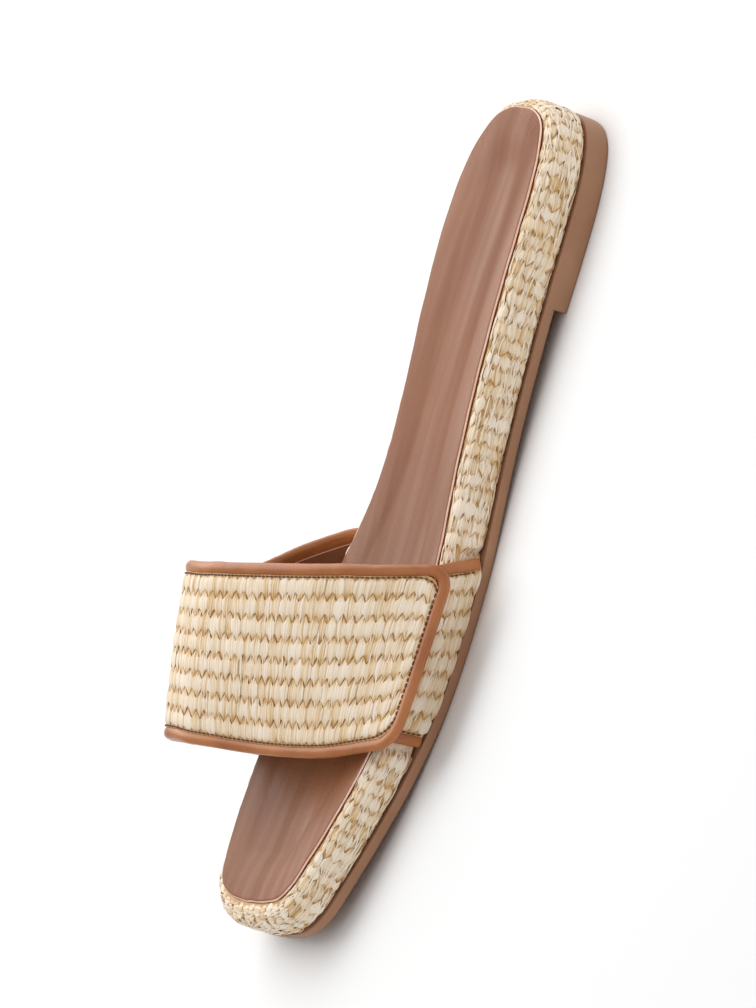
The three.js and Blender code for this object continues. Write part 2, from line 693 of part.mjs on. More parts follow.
// Binding round the flap: along its back edge, round the free end and back along its front edge
function flapBinding() {
  const path = flapPath()
  const inset = bindingWidth / 2
  const spots = []
  const add = (length, height, fromEdge, front, normal) => {
    spots.push({ length, height, w: inFromFlapEdge(length, fromEdge, front), normal })
  }
  const along = path.map((point, i) => ({ point, normal: sideways(path, i) })).slice(3)
  along.toReversed().forEach(({ point, normal }) => add(point.x, point.y, inset, false, normal))
  const turnRadius = flapCornerRadius - inset
  const upward = new THREE.Vector2(0, 1)
  const cornerSteps = 4
  const corner = (front) => {
    for (let k = 0; k <= cornerSteps; k += 1) {
      const turn = ((front ? cornerSteps - k : k) / cornerSteps) * (Math.PI / 2)
      const length = flapEnd + flapCornerRadius - turnRadius * Math.sin(turn)
      add(length, flapRest, flapCornerRadius - turnRadius * Math.cos(turn), front, upward)
    }
  }
  corner(false)
  const endSteps = 8
  for (let k = 1; k < endSteps; k += 1) {
    const fromEdge = lerp(flapCornerRadius, flapWidth(flapEnd) - flapCornerRadius, k / endSteps)
    add(flapEnd + inset, flapRest, fromEdge, false, upward)
  }
  corner(true)
  along.forEach(({ point, normal }) => add(point.x, point.y, inset, true, normal))
  const centres = spots.map((spot) => flapPoint(spot.length, spot.w, spot.height))
  const outward = spots.map(({ length, w, height, normal }, i) => (
    flapPoint(length + normal.x, w, height + normal.y).sub(centres[i]).normalize()))
  return bead(centres, outward)
}

// The straps joined into one upper: two bands, the flap over them, and the pads that hold them together
function upper() {
  const bandFace = bandWall - padSink
  const flapUnderside = flapRest - flapWall / 2 + padSink
  const pieces = [
    band(places.bandFoot, places.lateralBandTop, lateralSteps),
    band(places.medialBandTop, lastRow - places.bandFoot, medialSteps),
    flap(),
    slab(places.pad.from, places.pad.to, 5, padMargin, bandFace, flapUnderside),
    slab(places.tabPad.from, places.tabPad.to, 3, padMargin, bandFace, flapUnderside),
  ]
  return pieces.reduce((all, piece) => all.add(piece))
}

// Pockets in the rim, a gap wider than the bands and their bindings
function strapPockets() {
  const low = (bandWall - bindingThickness) / 2 - gap
  const high = bandWall + rimWidth
  const { from, to } = places.pocket
  return [
    slab(from, to, pocketSteps, -gap, low, high),
    slab(lastRow - to, lastRow - from, pocketSteps, -gap, low, high),
  ]
}

const bindingOf = (name, solid) => meshOf(name, solid, leatherColour, 0.45)
const lateralBinding = (front) => bandBinding(places.bandFoot, places.lateralBandTop, lateralSteps, front)
const medialBinding = (front) => (
  bandBinding(places.medialBandTop, lastRow - places.bandFoot, medialSteps, front))

const sandal = new THREE.Group()
sandal.add(
  meshOf('outsole', outsole(), moulding, 0.55),
  meshOf('midsole', midsole(strapPockets()), raffiaColour, 0.8),
  meshOf('insole', insole(), footbedColour, 0.5),
  meshOf('upper', upper(), raffiaColour, 0.8),
  bindingOf('flap_binding', flapBinding()),
  bindingOf('lateral_binding_back', lateralBinding(false)),
  bindingOf('lateral_binding_front', lateralBinding(true)),
  bindingOf('medial_binding_back', medialBinding(false)),
  bindingOf('medial_binding_front', medialBinding(true)),
)

// The frame's origin lies on the floor under the middle of the whole sandal
const box = new THREE.Box3().setFromObject(sandal)
const middle = box.getCenter(new THREE.Vector3())
sandal.traverse((part) => {
  if (part.isMesh) part.geometry.translate(-middle.x, -middle.y, -box.min.z)
})

export default sandal
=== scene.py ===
# Woven flat sandal, left shoe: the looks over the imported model
import math
import bpy
import numpy as np
from mathutils import Matrix, Vector
from mathutils.kdtree import KDTree


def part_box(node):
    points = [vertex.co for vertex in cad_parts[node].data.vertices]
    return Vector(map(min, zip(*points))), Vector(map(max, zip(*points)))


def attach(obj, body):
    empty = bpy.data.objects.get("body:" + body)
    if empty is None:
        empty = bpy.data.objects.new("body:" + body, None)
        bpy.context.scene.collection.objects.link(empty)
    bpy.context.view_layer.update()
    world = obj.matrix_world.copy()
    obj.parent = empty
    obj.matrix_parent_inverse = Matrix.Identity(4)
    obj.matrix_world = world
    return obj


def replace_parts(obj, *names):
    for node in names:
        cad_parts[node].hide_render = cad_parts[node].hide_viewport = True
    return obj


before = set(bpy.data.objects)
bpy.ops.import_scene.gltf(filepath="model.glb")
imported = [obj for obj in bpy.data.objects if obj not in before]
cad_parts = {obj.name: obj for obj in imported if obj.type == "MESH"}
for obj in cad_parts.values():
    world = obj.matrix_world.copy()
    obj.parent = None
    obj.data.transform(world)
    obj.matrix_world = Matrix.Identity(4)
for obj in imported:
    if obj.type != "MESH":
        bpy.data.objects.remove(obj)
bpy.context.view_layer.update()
mm = 0.001  # every size below is in millimetres, as the pattern for the shoe is
chance = np.random.default_rng(7)

# Sole pattern, the same sizes as in the part's source
sole = {
    "length": 256, "ballWidth": 97, "outsole": 3.2, "toeSpring": 5.2, "heelLift": 4.2,
    "rimHeight": 11.5, "rimWidth": 5.8, "rimTuck": 1.4, "insoleThickness": 3, "insoleProud": 0.9,
    "footbedDip": 1.1, "heelCup": 1, "edgeRound": 0.9, "breastSlope": 0.3, "heelBreastAlong": 0.767,
    "toeTip": (0, -0.01), "heelTip": (1, 0.022), "gap": 0.3,
}
outlineTable = np.array([  # along, outer half width, inner half width
    (0.002, 0.113, 0.134), (0.008, 0.206, 0.222), (0.02, 0.271, 0.298), (0.04, 0.322, 0.359),
    (0.07, 0.363, 0.39), (0.12, 0.425, 0.42), (0.19, 0.485, 0.453), (0.27, 0.521, 0.471),
    (0.34, 0.529, 0.454), (0.4, 0.519, 0.405), (0.46, 0.497, 0.325), (0.52, 0.467, 0.254),
    (0.58, 0.439, 0.232), (0.65, 0.418, 0.244), (0.74, 0.403, 0.281), (0.83, 0.387, 0.315),
    (0.89, 0.367, 0.319), (0.935, 0.333, 0.29), (0.968, 0.281, 0.233), (0.988, 0.21, 0.163),
    (0.9975, 0.119, 0.075),
])
profileTable = np.array([  # along, toe spring, heel lift, rim width, rim height
    (0, 1, 0, 1.2, 0.96), (0.05, 0.86, 0, 1.12, 0.96), (0.13, 0.6, 0, 1, 0.97), (0.22, 0.24, 0, 1, 0.98),
    (0.32, 0, 0, 1, 1), (0.43, 0, 0, 1, 1.01), (0.52, 0, 0.22, 1, 1.04), (0.64, 0, 0.6, 1, 1.07),
    (0.74, 0, 0.88, 1, 1.09), (0.82, 0, 1, 1, 1.09), (0.94, 0, 0.97, 0.95, 1.09), (0.98, 0, 0.94, 0.8, 1.09),
    (1, 0, 0.92, 0.7, 1.09),
])

# Strap pattern
strap = {
    "archHeight": 51, "crown": 0.8, "bandWall": 2.2, "flapWall": 2.2, "binding": 1.45, "bindingReach": 1.9,
    "bandInset": 1.7, "endLength": 23.5, "endDroop": 2.8, "corner": 8, "tabLength": 16, "pastBack": 1.5,
    "pastFront": 1.7, "clearance": 0.3, "foot": 0.3, "lateralTop": 9.3, "medialTop": 10.2, "leaves": 5,
    "rises": (7.6, 10), "fold": 12.8, "crownRise": (2, 6), "crownFall": (12, 16),
}
strapTable = np.array([  # how far it follows the sole's side, then out, along and up: back edge, front edge
    (1, -0.008, 0.469, 0, -0.008, 0.242, 0),
    (1, 0, 0.463, 0.078, 0, 0.24, 0.075),
    (1, 0.024, 0.453, 0.19, 0.006, 0.237, 0.165),
    (0.6, 0.228, 0.4375, 0.361, 0.189, 0.229, 0.25),
    (0.25, 0.376, 0.4275, 0.482, 0.32, 0.222, 0.308),
    (0, 0.452, 0.42, 0.594, 0.375, 0.216, 0.365),
    (0, 0.371, 0.412, 0.712, 0.278, 0.208, 0.431),
    (0, 0.247, 0.401, 0.843, 0.144, 0.201, 0.524),
    (0, 0.082, 0.3905, 0.962, 0, 0.196, 0.627),
    (0, -0.082, 0.3835, 1.02, -0.134, 0.193, 0.724),
    (0, -0.217, 0.379, 1.03, -0.242, 0.191, 0.781),
    (0, -0.325, 0.379, 1, -0.325, 0.191, 0.787),
    (0, -0.404, 0.383, 0.91, -0.397, 0.191, 0.726),
    (0, -0.438, 0.392, 0.745, -0.446, 0.193, 0.618),
    (-0.25, -0.348, 0.413, 0.6, -0.358, 0.195, 0.464),
    (-0.6, -0.212, 0.442, 0.43, -0.208, 0.198, 0.3),
    (-1, -0.062, 0.474, 0.21, -0.018, 0.202, 0.139),
    (-1, -0.032, 0.488, 0.088, -0.005, 0.205, 0.065),
    (-1, 0.008, 0.496, 0, 0.008, 0.207, 0),
])


# Smooth reading of values that are known at some places, with no overshoot
def readSmooth(places, values, at):
    places = np.asarray(places, float)
    values = np.asarray(values, float)
    at = np.clip(np.asarray(at, float), places[0], places[-1])
    if values.ndim == 1:
        values = np.repeat(values[:, None], at.size, 1)
    span = np.diff(places)[:, None]
    slopes = np.diff(values, axis=0) / span
    before, after = slopes[:-1], slopes[1:]
    most = 3 * np.minimum(abs(before), abs(after))
    mean = (before + after) / 2
    inner = np.where(before * after <= 0, 0, np.sign(mean) * np.minimum(abs(mean), most))
    tangents = np.concatenate([slopes[:1], inner, slopes[-1:]])
    flat = at.ravel()
    i = np.clip(np.searchsorted(places, flat, side="right") - 1, 0, len(places) - 2)
    n = np.arange(flat.size)
    width = places[i + 1] - places[i]
    t = (flat - places[i]) / width
    result = (
        (1 + 2 * t) * (1 - t) ** 2 * values[i, n] + t * (1 - t) ** 2 * width * tangents[i, n]
        + t * t * (3 - 2 * t) * values[i + 1, n] + t * t * (t - 1) * width * tangents[i + 1, n])
    return result.reshape(at.shape)


def smooth(value, low, high):
    t = np.clip((np.asarray(value, float) - low) / (high - low), 0, 1)
    return t * t * (3 - 2 * t)


def unit(vector):
    return vector / np.maximum(np.linalg.norm(vector, axis=-1, keepdims=True), 1e-9)


def arcAlong(points):
    return np.concatenate([[0], np.cumsum(np.linalg.norm(np.diff(points, axis=0), axis=1))])


def readCurve(at, arc, points):
    return np.stack([np.interp(at, arc, points[:, k]) for k in range(points.shape[1])], -1)


def crossed(first, second):
    return np.meshgrid(first, second, indexing="ij")


def atHeight(spot, height):
    return np.concatenate([spot, height[:, None]], 1)


def toY(along):
    return (np.asarray(along, float) - 0.5) * sole["length"]


def profile(column, y):
    along = np.asarray(y, float) / sole["length"] + 0.5
    return readSmooth(profileTable[:, 0], profileTable[:, column], along)


def underside(y):
    return sole["toeSpring"] * profile(1, y) + sole["heelLift"] * profile(2, y)


def soleTop(y):
    return underside(y) + sole["outsole"]


def rimRise(y):
    return sole["rimHeight"] * profile(4, y)


def rimTop(y):
    return soleTop(y) + rimRise(y)


def insoleTop(y):
    return rimTop(y) + sole["insoleProud"]


# Outline of the rim as one closed curve, toe tip first and then up the outer side
def traceOutline(perSpan=40):
    half = sole["ballWidth"]
    knots = [(sole["toeTip"][1] * half, toY(sole["toeTip"][0]))]
    knots += [(row[1] * half, toY(row[0])) for row in outlineTable]
    knots += [(sole["heelTip"][1] * half, toY(sole["heelTip"][0]))]
    knots += [(-row[2] * half, toY(row[0])) for row in outlineTable[::-1]]
    knots = np.array(knots, float)
    count = len(knots)
    points = []
    t = (np.arange(perSpan) / perSpan)[:, None]
    for i in range(count):
        p0, p1, p2, p3 = (knots[(i + k) % count] for k in (-1, 0, 1, 2))
        d0, d1, d2 = (math.dist(a, b) ** 0.5 for a, b in ((p0, p1), (p1, p2), (p2, p3)))
        m1 = d1 * ((p1 - p0) / d0 - (p2 - p0) / (d0 + d1) + (p2 - p1) / d1)
        m2 = d1 * ((p2 - p1) / d1 - (p3 - p1) / (d1 + d2) + (p3 - p2) / d2)
        c2, c3 = -3 * p1 + 3 * p2 - 2 * m1 - m2, 2 * p1 - 2 * p2 + m1 + m2
        points.append(p1 + m1 * t + c2 * t ** 2 + c3 * t ** 3)
    return np.concatenate(points)


outlineCurve = traceOutline()
outlineLoop = np.vstack([outlineCurve, outlineCurve[:1]])
outlineArc = arcAlong(outlineLoop)
outlineLength = outlineArc[-1]
heelIndex = int(np.argmax(outlineCurve[:, 1]))
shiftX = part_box("outsole")[0].x / mm - (outlineCurve[:, 0].min() + sole["gap"])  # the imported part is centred


def onOutline(arc):
    arc = np.asarray(arc, float) % outlineLength
    arcs = [(arc + step) % outlineLength for step in (-1, 0, 1)]
    behind, spot, ahead = (readCurve(at, outlineArc, outlineLoop) for at in arcs)
    tangent = unit(ahead - behind)
    return spot, np.stack([tangent[..., 1], -tangent[..., 0]], -1)


def halfWidth(side, y):
    outer, inner = outlineCurve[:heelIndex + 1], outlineCurve[heelIndex:][::-1]
    outerHalf, innerHalf = np.interp(y, outer[:, 1], outer[:, 0]), -np.interp(y, inner[:, 1], inner[:, 0])
    return np.where(side > 0, outerHalf, innerHalf)


# Point of the sole: in from the outline by inset, then towards its middle line by depth
def solePoint(arc, inset, depth):
    spot, out = onOutline(arc)
    edge = spot - out * np.asarray(inset, float)[..., None]
    y = np.clip(spot[..., 1], toY(0.15), toY(0.87))
    middle = np.stack([(halfWidth(1, y) - halfWidth(-1, y)) / 2, y], -1)
    reach = np.linalg.norm(middle - edge, axis=-1)
    share = np.clip(depth(reach) if callable(depth) else depth / reach, 0, 1)
    return edge + (middle - edge) * share[..., None]


def rimAcross(arc):
    return sole["rimWidth"] * profile(3, onOutline(arc)[0][..., 1])


# Inner face of the straps, v from 0 at the back edge to 1 at the front edge
lastRow = len(strapTable) - 1


def strapFace(row, v):
    row, v = np.broadcast_arrays(np.asarray(row, float), np.asarray(v, float))
    share = v.ravel()[None, :]
    follow = strapTable[:, 0:1]
    out, along, up = (
        strapTable[:, k:k + 1] * (1 - share) + strapTable[:, k + 3:k + 4] * share for k in (1, 2, 3))
    y = toY(along)
    wall = follow * (halfWidth(follow + 0 * y, y) - strap["bandInset"])
    axes = (wall + out * sole["ballWidth"], y,
            abs(follow) * (soleTop(y) + sole["gap"]) + up * strap["archHeight"])
    rows = np.arange(lastRow + 1)
    return np.stack([readSmooth(rows, axis, row.ravel()) for axis in axes], -1).reshape(row.shape + (3,))


def strapNormal(row, v):
    row = np.clip(row, 0.03, lastRow - 0.03)
    v = np.clip(v, 0, 1)
    along = strapFace(row + 0.02, v) - strapFace(row - 0.02, v)
    across = strapFace(row, v + 0.02) - strapFace(row, v - 0.02)
    return unit(np.cross(along, across))


def strapPoint(row, v, offset):
    row, v, offset = np.broadcast_arrays(*(np.asarray(k, float) for k in (row, v, offset)))
    middle = smooth(row, *strap["crownRise"]) * (1 - smooth(row, *strap["crownFall"]))
    crown = np.maximum(strap["crown"] * middle * 4 * v * (1 - v), 0)
    return strapFace(row, v) + strapNormal(row, v) * (offset + crown)[..., None]


rowSteps = np.linspace(0, lastRow, 361)
middleLine = strapFace(rowSteps, 0.5)
lengthSteps = arcAlong(middleLine)
widthSteps = np.linalg.norm(strapFace(rowSteps, 0) - strapFace(rowSteps, 1), axis=1)
slantSteps = {}
for front in (False, True):
    inside = np.clip(rowSteps, 0.1, lastRow - 0.1)
    edgeWay = unit(strapFace(inside + 0.1, float(front)) - strapFace(inside - 0.1, float(front)))
    acrossWay = unit(strapFace(inside, 1) - strapFace(inside, 0))
    slantSteps[front] = np.linalg.norm(np.cross(edgeWay, acrossWay), axis=1)


def lengthAt(row):
    return np.interp(row, rowSteps, lengthSteps)


def rowAt(length):
    return np.interp(length, lengthSteps, rowSteps)


def inFromEdge(row, distance, front):
    slant, width = (np.interp(row, rowSteps, steps) for steps in (slantSteps[front], widthSteps))
    share = distance / (slant * width)
    return 1 - share if front else share


# Flap: path of its middle line as length along the strap and height over the bands' inner face
flapRest = strap["bandWall"] / 2 + 2 * strap["binding"] + strap["clearance"]
layerStep = 2 * strap["binding"] + strap["clearance"]
flapStart = float(lengthAt(strap["leaves"]))
flapEnd = flapStart - strap["endLength"]
foldLength = float(lengthAt(strap["fold"]))


def flapPath(step=0.5, turns=13):
    above, turn = np.arange(flapEnd, foldLength, step), np.linspace(0, math.pi, turns)
    under = np.arange(foldLength - step, foldLength - strap["tabLength"], -step)
    length = np.concatenate([above, foldLength + layerStep / 2 * np.sin(turn), under])
    height = flapRest + layerStep * smooth(rowAt(length), *strap["rises"])
    fold = len(above)
    height[fold:fold + turns] = flapRest + layerStep / 2 * (1 + np.cos(turn))
    height[fold + turns:] = flapRest
    return np.stack([length, height], 1)


path = flapPath()
way = unit(np.gradient(path, axis=0))
pathNormal = np.stack([-way[:, 1], way[:, 0]], 1)
outerPath = path + pathNormal * strap["flapWall"] / 2
pathArc = arcAlong(outerPath)


def flapWidth(length):
    row = np.maximum(rowAt(length), strap["leaves"])
    return np.interp(row, rowSteps, widthSteps) + strap["pastBack"] + strap["pastFront"]


def inFromFlapEdge(length, distance, front):
    row = np.maximum(rowAt(length), strap["leaves"])
    share = distance / (np.interp(row, rowSteps, slantSteps[front]) * flapWidth(length))
    return 1 - share if front else share


def flapPoint(length, w, height):
    length, w, height = np.broadcast_arrays(*(np.asarray(k, float) for k in (length, w, height)))
    row = np.maximum(rowAt(length), strap["leaves"])
    width = np.interp(row, rowSteps, widthSteps)
    v = -strap["pastBack"] / width + w * (1 + (strap["pastBack"] + strap["pastFront"]) / width)
    point = strapPoint(row, v, height)
    beyond = np.maximum(flapStart - length, 0)
    direction = unit(point - strapPoint(row + 0.05, v, height))
    droop = strap["endDroop"] * (1 - np.clip(w, 0, 1)) * (beyond / strap["endLength"]) ** 2
    return point + direction * beyond[..., None] - strapNormal(row, v) * droop[..., None]


def cornerPull(length):
    reach = np.clip(strap["corner"] - (np.asarray(length, float) - flapEnd), 0, strap["corner"])
    return strap["corner"] - np.sqrt(strap["corner"] ** 2 - reach ** 2)


# Meshes
def addMesh(name, points, faces, material, slotName, values=None, faceMaterials=None, sharp=40):
    mesh = bpy.data.meshes.new(name)
    points = np.asarray(points, float) + (shiftX, 0, 0)
    mesh.from_pydata((points * mm).tolist(), [], faces if isinstance(faces, list) else faces.tolist())
    mesh.validate()
    for key, array in (values or {}).items():
        kind, member = ("FLOAT_VECTOR", "vector") if array.ndim == 2 else ("FLOAT", "value")
        layer = mesh.attributes.new(key, kind, "POINT")
        layer.data.foreach_set(member, np.asarray(array, np.float32).ravel())
    for entry in material if isinstance(material, list) else [material]:
        mesh.materials.append(entry)
    if faceMaterials is not None:
        mesh.polygons.foreach_set("material_index", np.asarray(faceMaterials, np.int32))
    mesh.shade_smooth()
    if sharp:
        mesh.set_sharp_from_angle(angle=math.radians(sharp))
    piece = bpy.data.objects.new(name, mesh)
    bpy.context.scene.collection.objects.link(piece)
    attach(piece, "root")
    return piece


# A woven piece: its points, faces and point values, from the functions below
def addWoven(name, pieces, material):
    points, faces, values = pieces
    return addMesh(name, points, faces, material, "raffia", values, sharp=None)


def gridFaces(rows, columns, start=0, closed=False):
    i, j = crossed(np.arange(rows - 1), np.arange(columns if closed else columns - 1))
    i, j = i.ravel() * columns, j.ravel()
    k = (j + 1) % columns
    return start + np.stack([i + j, i + columns + j, i + columns + k, i + k], 1)


# The same faces for each of many small grids that follow one another
def repeatFaces(rows, columns, count, closed=False):
    starts = np.arange(count) * rows * columns
    return (gridFaces(rows, columns, closed=closed)[None] + starts[:, None, None]).reshape(-1, 4)


# Closed sheet between two grids of points of one shape, the first one facing out
def sheetBetween(outer, inner):
    rows, columns = outer.shape[:2]
    points = np.concatenate([outer.reshape(-1, 3), inner.reshape(-1, 3)])
    faces = [gridFaces(rows, columns), gridFaces(rows, columns, rows * columns)[:, ::-1]]
    rim = [(i, 0) for i in range(rows)] + [(rows - 1, j) for j in range(1, columns)]
    rim += [(i, columns - 1) for i in range(rows - 2, -1, -1)] + [(0, j) for j in range(columns - 2, 0, -1)]
    ring = np.array([i * columns + j for i, j in rim])
    after = np.roll(ring, -1)
    faces.append(np.stack([ring, ring + rows * columns, after + rows * columns, after], 1))
    return points, np.concatenate(faces)


def tube(centres, outward, sides=18, wrinkle=0.025):
    direction = unit(np.gradient(centres, axis=0))
    up = unit(outward - direction * (outward * direction).sum(1, keepdims=True))
    across = np.cross(direction, up)
    turn = np.linspace(0, 2 * math.pi, sides, endpoint=False)
    waves = chance.normal(0, 1, (len(centres), 4))
    kernel = np.exp(-np.linspace(-2, 2, 9) ** 2)
    waves = np.stack([np.convolve(wave, kernel / kernel.sum(), "same") for wave in waves.T], 1)
    swell = 1 + wrinkle * sum(waves[:, k:k + 1] * np.cos(k * turn + k) for k in range(4))
    high, wide = strap["binding"] * np.sin(turn)[:, None], strap["bindingReach"] * np.cos(turn)[:, None]
    ring = up[:, None] * high + across[:, None] * wide
    points = centres[:, None] + ring * swell[..., None]
    count = len(centres)
    faces = gridFaces(count, sides, closed=True).tolist()
    faces += [list(range(sides)), [(count - 1) * sides + k for k in range(sides)][::-1]]
    return points.reshape(-1, 3), faces


# Woven stitches: one pointed stitch of leaf strips, repeated in rows whose points lock into the next row's
def layStitches(place, runs, rows, pitch, weave, hold):
    a, b = crossed(np.linspace(-1, 1, weave["across"]), np.linspace(-1, 1, weave["along"]))
    a, b = a.ravel(), b.ravel()
    reach = 0.5 + weave["interlock"] / 2  # the points of neighbouring rows fill each other's gaps
    taper = np.clip((1 - abs(b)) * reach / weave["interlock"], 0, 1)
    half = 0.5 * pitch * (0.02 + weave["fullness"] * taper + weave["overlap"] * smooth(taper, 0.7, 1))
    dome = np.sqrt(np.maximum(1 - 0.97 * abs(a) ** weave["round"], 0))
    tipward = smooth(abs(b), 0.2, 0.8)
    groove = weave["lobe"] * (0.3 + 0.7 * tipward) * (1 - dome)
    dip = 1 - weave["dip"] * smooth(abs(b), 0.05, 1.0)
    count = len(runs)
    jitter = chance.normal(0, 1, (6, count, 1)) * weave["uneven"]
    lean = (1.6 * b * jitter[1] + jitter[5]) * 0.03 * pitch
    run = runs[:, None] + a * half * (1 + 0.05 * jitter[0]) + lean
    row = rows[:, None] + b * reach * (1 + 0.02 * jitter[2]) + 0.012 * jitter[4]
    held = hold(run, row)
    stripAt = (a + 1) / 2 * weave["strips"]
    ridge = abs(np.sin(math.pi * stripAt)) - 0.5
    stripTone = chance.normal(0, 1, (count, weave["strips"] + 1))
    own = stripTone[:, np.minimum(stripAt.astype(int), weave["strips"])]
    height = weave["sink"] + weave["rise"] * (dip - groove) * (1 + 0.05 * jitter[2]) - weave["tuck"] * held
    height = height + weave["strand"] * (ridge + 0.5 * own) * taper
    points = place(run, row, height)
    faces = repeatFaces(weave["across"], weave["along"], count)
    apart = chance.uniform(0, 300, (count, 1))
    fibre = np.stack(np.broadcast_arrays(a * half, b * weave["length"] / 2, apart), -1)
    split = 1 - weave["interlock"] / reach
    # dark spots where the stitches part at their points: painted shadow in the holes
    holeShade = np.exp(-((abs(a) - 1) / 0.3) ** 2 - ((abs(b) - split - 0.06) / 0.13) ** 2)
    # how lit a point is, for painted shade: lower at the stitch sides and tips, higher on the strip crowns as
    # painted highlight
    unshaded = 1 - smooth(abs(a), 0.4, 1) * (0.12 + 0.6 * tipward) - 0.3 * smooth(abs(b), 0.6, 1)
    unshaded = unshaded + 0.12 * ridge - weave["holeShade"] * holeShade
    values = {
        "fibre": fibre.reshape(-1, 3),
        # tone falls towards golden at the stitch tips: partly the leaf's own darker colour, partly painted shade
        "tone": np.clip(0.55 + 0.08 * jitter[3] + 0.14 * own - weave["goldAndShade"] * tipward, 0, 1).ravel(),
        # stitches held down at the bindings and beside the insole are darkened further: painted shade
        "unshaded": (unshaded * (1 - weave["heldShade"] * held)).ravel(),
    }
    return points.reshape(-1, 3), faces, values


fibreRings = 9


# Stray leaf strips that lie over the weave, each a thin curl whose ends dive back in
def layFibres(place, runs, rows, looks):
    t, s = crossed(np.linspace(-1, 1, fibreRings), (-1, 0, 1))
    t, s = t.ravel(), s.ravel()
    count = len(runs)
    lean, bow, size, bright = chance.normal(0, 1, (4, count, 1))
    width = looks["width"] * np.clip(1 + 0.25 * size, 0.5, 1.6)
    length = looks["length"] * np.clip(1 + 0.3 * size, 0.5, 1.7)
    run = runs[:, None] + looks["lean"] * lean * t + 0.5 * looks["lean"] * bow * t ** 2
    run = run + s * width / 2 * (1 - 0.8 * abs(t) ** 3)
    row = rows[:, None] + t * length / 2
    height = looks["lift"] + 0.05 * (1 - s ** 2) - looks["dive"] * t ** 4 + 0 * run
    points = place(run, row, height)
    faces = repeatFaces(fibreRings, 3, count)
    fibre = np.stack(np.broadcast_arrays(s * width * looks["across"] / 2, t * length * 3, bright * 40), -1)
    values = {
        "fibre": fibre.reshape(-1, 3),
        "tone": np.clip(0.62 + 0.24 * bright + 0 * run, 0, 1).ravel(),
        # painted shade: darker at the strips' sides and at their ends, where they dive into the weave
        "unshaded": (1 - 0.25 * abs(s) - 0.5 * t ** 4 + 0 * run).ravel(),
    }
    return points.reshape(-1, 3), faces, values


def joined(first, second):
    points = np.concatenate([first[0], second[0]])
    faces = np.concatenate([first[1], second[1] + len(first[0])])
    return points, faces, {key: np.concatenate([first[2][key], second[2][key]]) for key in first[2]}


# Seam thread: short stitches along a line, each a small bead that dives at both ends
def seam(name, line, outward, looks, rings=7, sides=8):
    arc = arcAlong(line)
    middles = np.arange(looks["pitch"], arc[-1] - looks["pitch"], looks["pitch"])
    read = lambda grid: readCurve(middles, arc, grid)[:, None, None]
    middle, up = read(line), unit(read(outward))
    direction = unit(read(np.gradient(line, axis=0)))
    side = np.cross(direction, up)
    bend = np.linspace(0, math.pi, rings)[None, :, None, None]
    turn = np.linspace(0, 2 * math.pi, sides, endpoint=False)[None, None, :, None]
    thick = looks["thread"] / 2 * np.sin(bend)
    lift = up * (looks["lift"] * np.sin(bend) - 0.1)
    points = (middle - direction * looks["length"] / 2 * np.cos(bend) + lift
              + side * thick * np.cos(turn) + up * thick * np.sin(turn))
    faces = repeatFaces(rings, sides, len(middles), closed=True)
    return addMesh(name, points.reshape(-1, 3), faces, linenThread, "binding_leather", sharp=None)


# Sheet under the stitches, which closes the small gaps between them; it is darker golden, partly the lower
# strips' own colour and partly painted shade in the gaps
def underlay(grid, closed=False):
    points = grid.reshape(-1, 3)
    count = len(points)
    flat = points * (1, 1, 0) + (0, 0, 50)
    values = {"fibre": flat, "tone": np.full(count, 0.4), "unshaded": np.zeros(count)}
    return points, gridFaces(*grid.shape[:2], closed=closed), values


# Materials
def colour(code):
    parts = [int(code[k:k + 2], 16) / 255 for k in (1, 3, 5)]
    return [part / 12.92 if part <= 0.04045 else ((part + 0.055) / 1.055) ** 2.4 for part in parts] + [1]


def addNode(tree, kind, settings, inputs):
    node = tree.nodes.new("ShaderNode" + kind)
    for key, value in settings.items():
        setattr(node, key, value)
    for key, value in inputs.items():
        if isinstance(value, bpy.types.NodeSocket):
            tree.links.new(value, node.inputs[key])
        else:
            node.inputs[key].default_value = value
    return node


def noise(tree, way, settings):
    return addNode(tree, "TexNoise", {}, {"Vector": way, **settings}).outputs["Fac"]


def stretched(tree, way, scale):
    return addNode(tree, "Mapping", {}, {"Vector": way, "Scale": scale}).outputs[0]


def multiplyAdd(tree, value, factor, added):
    return addNode(tree, "Math", {"operation": "MULTIPLY_ADD"}, {0: value, 1: factor, 2: added}).outputs[0]


def startMaterial(name, shader):
    material = bpy.data.materials.new(name)
    material.use_nodes = True
    tree = material.node_tree
    surface = tree.nodes["Principled BSDF"]
    for key, value in shader.items():
        surface.inputs[key].default_value = value
    return material, tree, surface


def rampOf(tree, factor, stops):
    ramp = addNode(tree, "ValToRGB", {}, {"Fac": factor})
    elements = ramp.color_ramp.elements
    while len(elements) < len(stops):
        elements.new(0.5)
    for element, (place, code) in zip(elements, stops):
        element.position = place
        element.color = colour(code)
    return ramp.outputs["Color"]
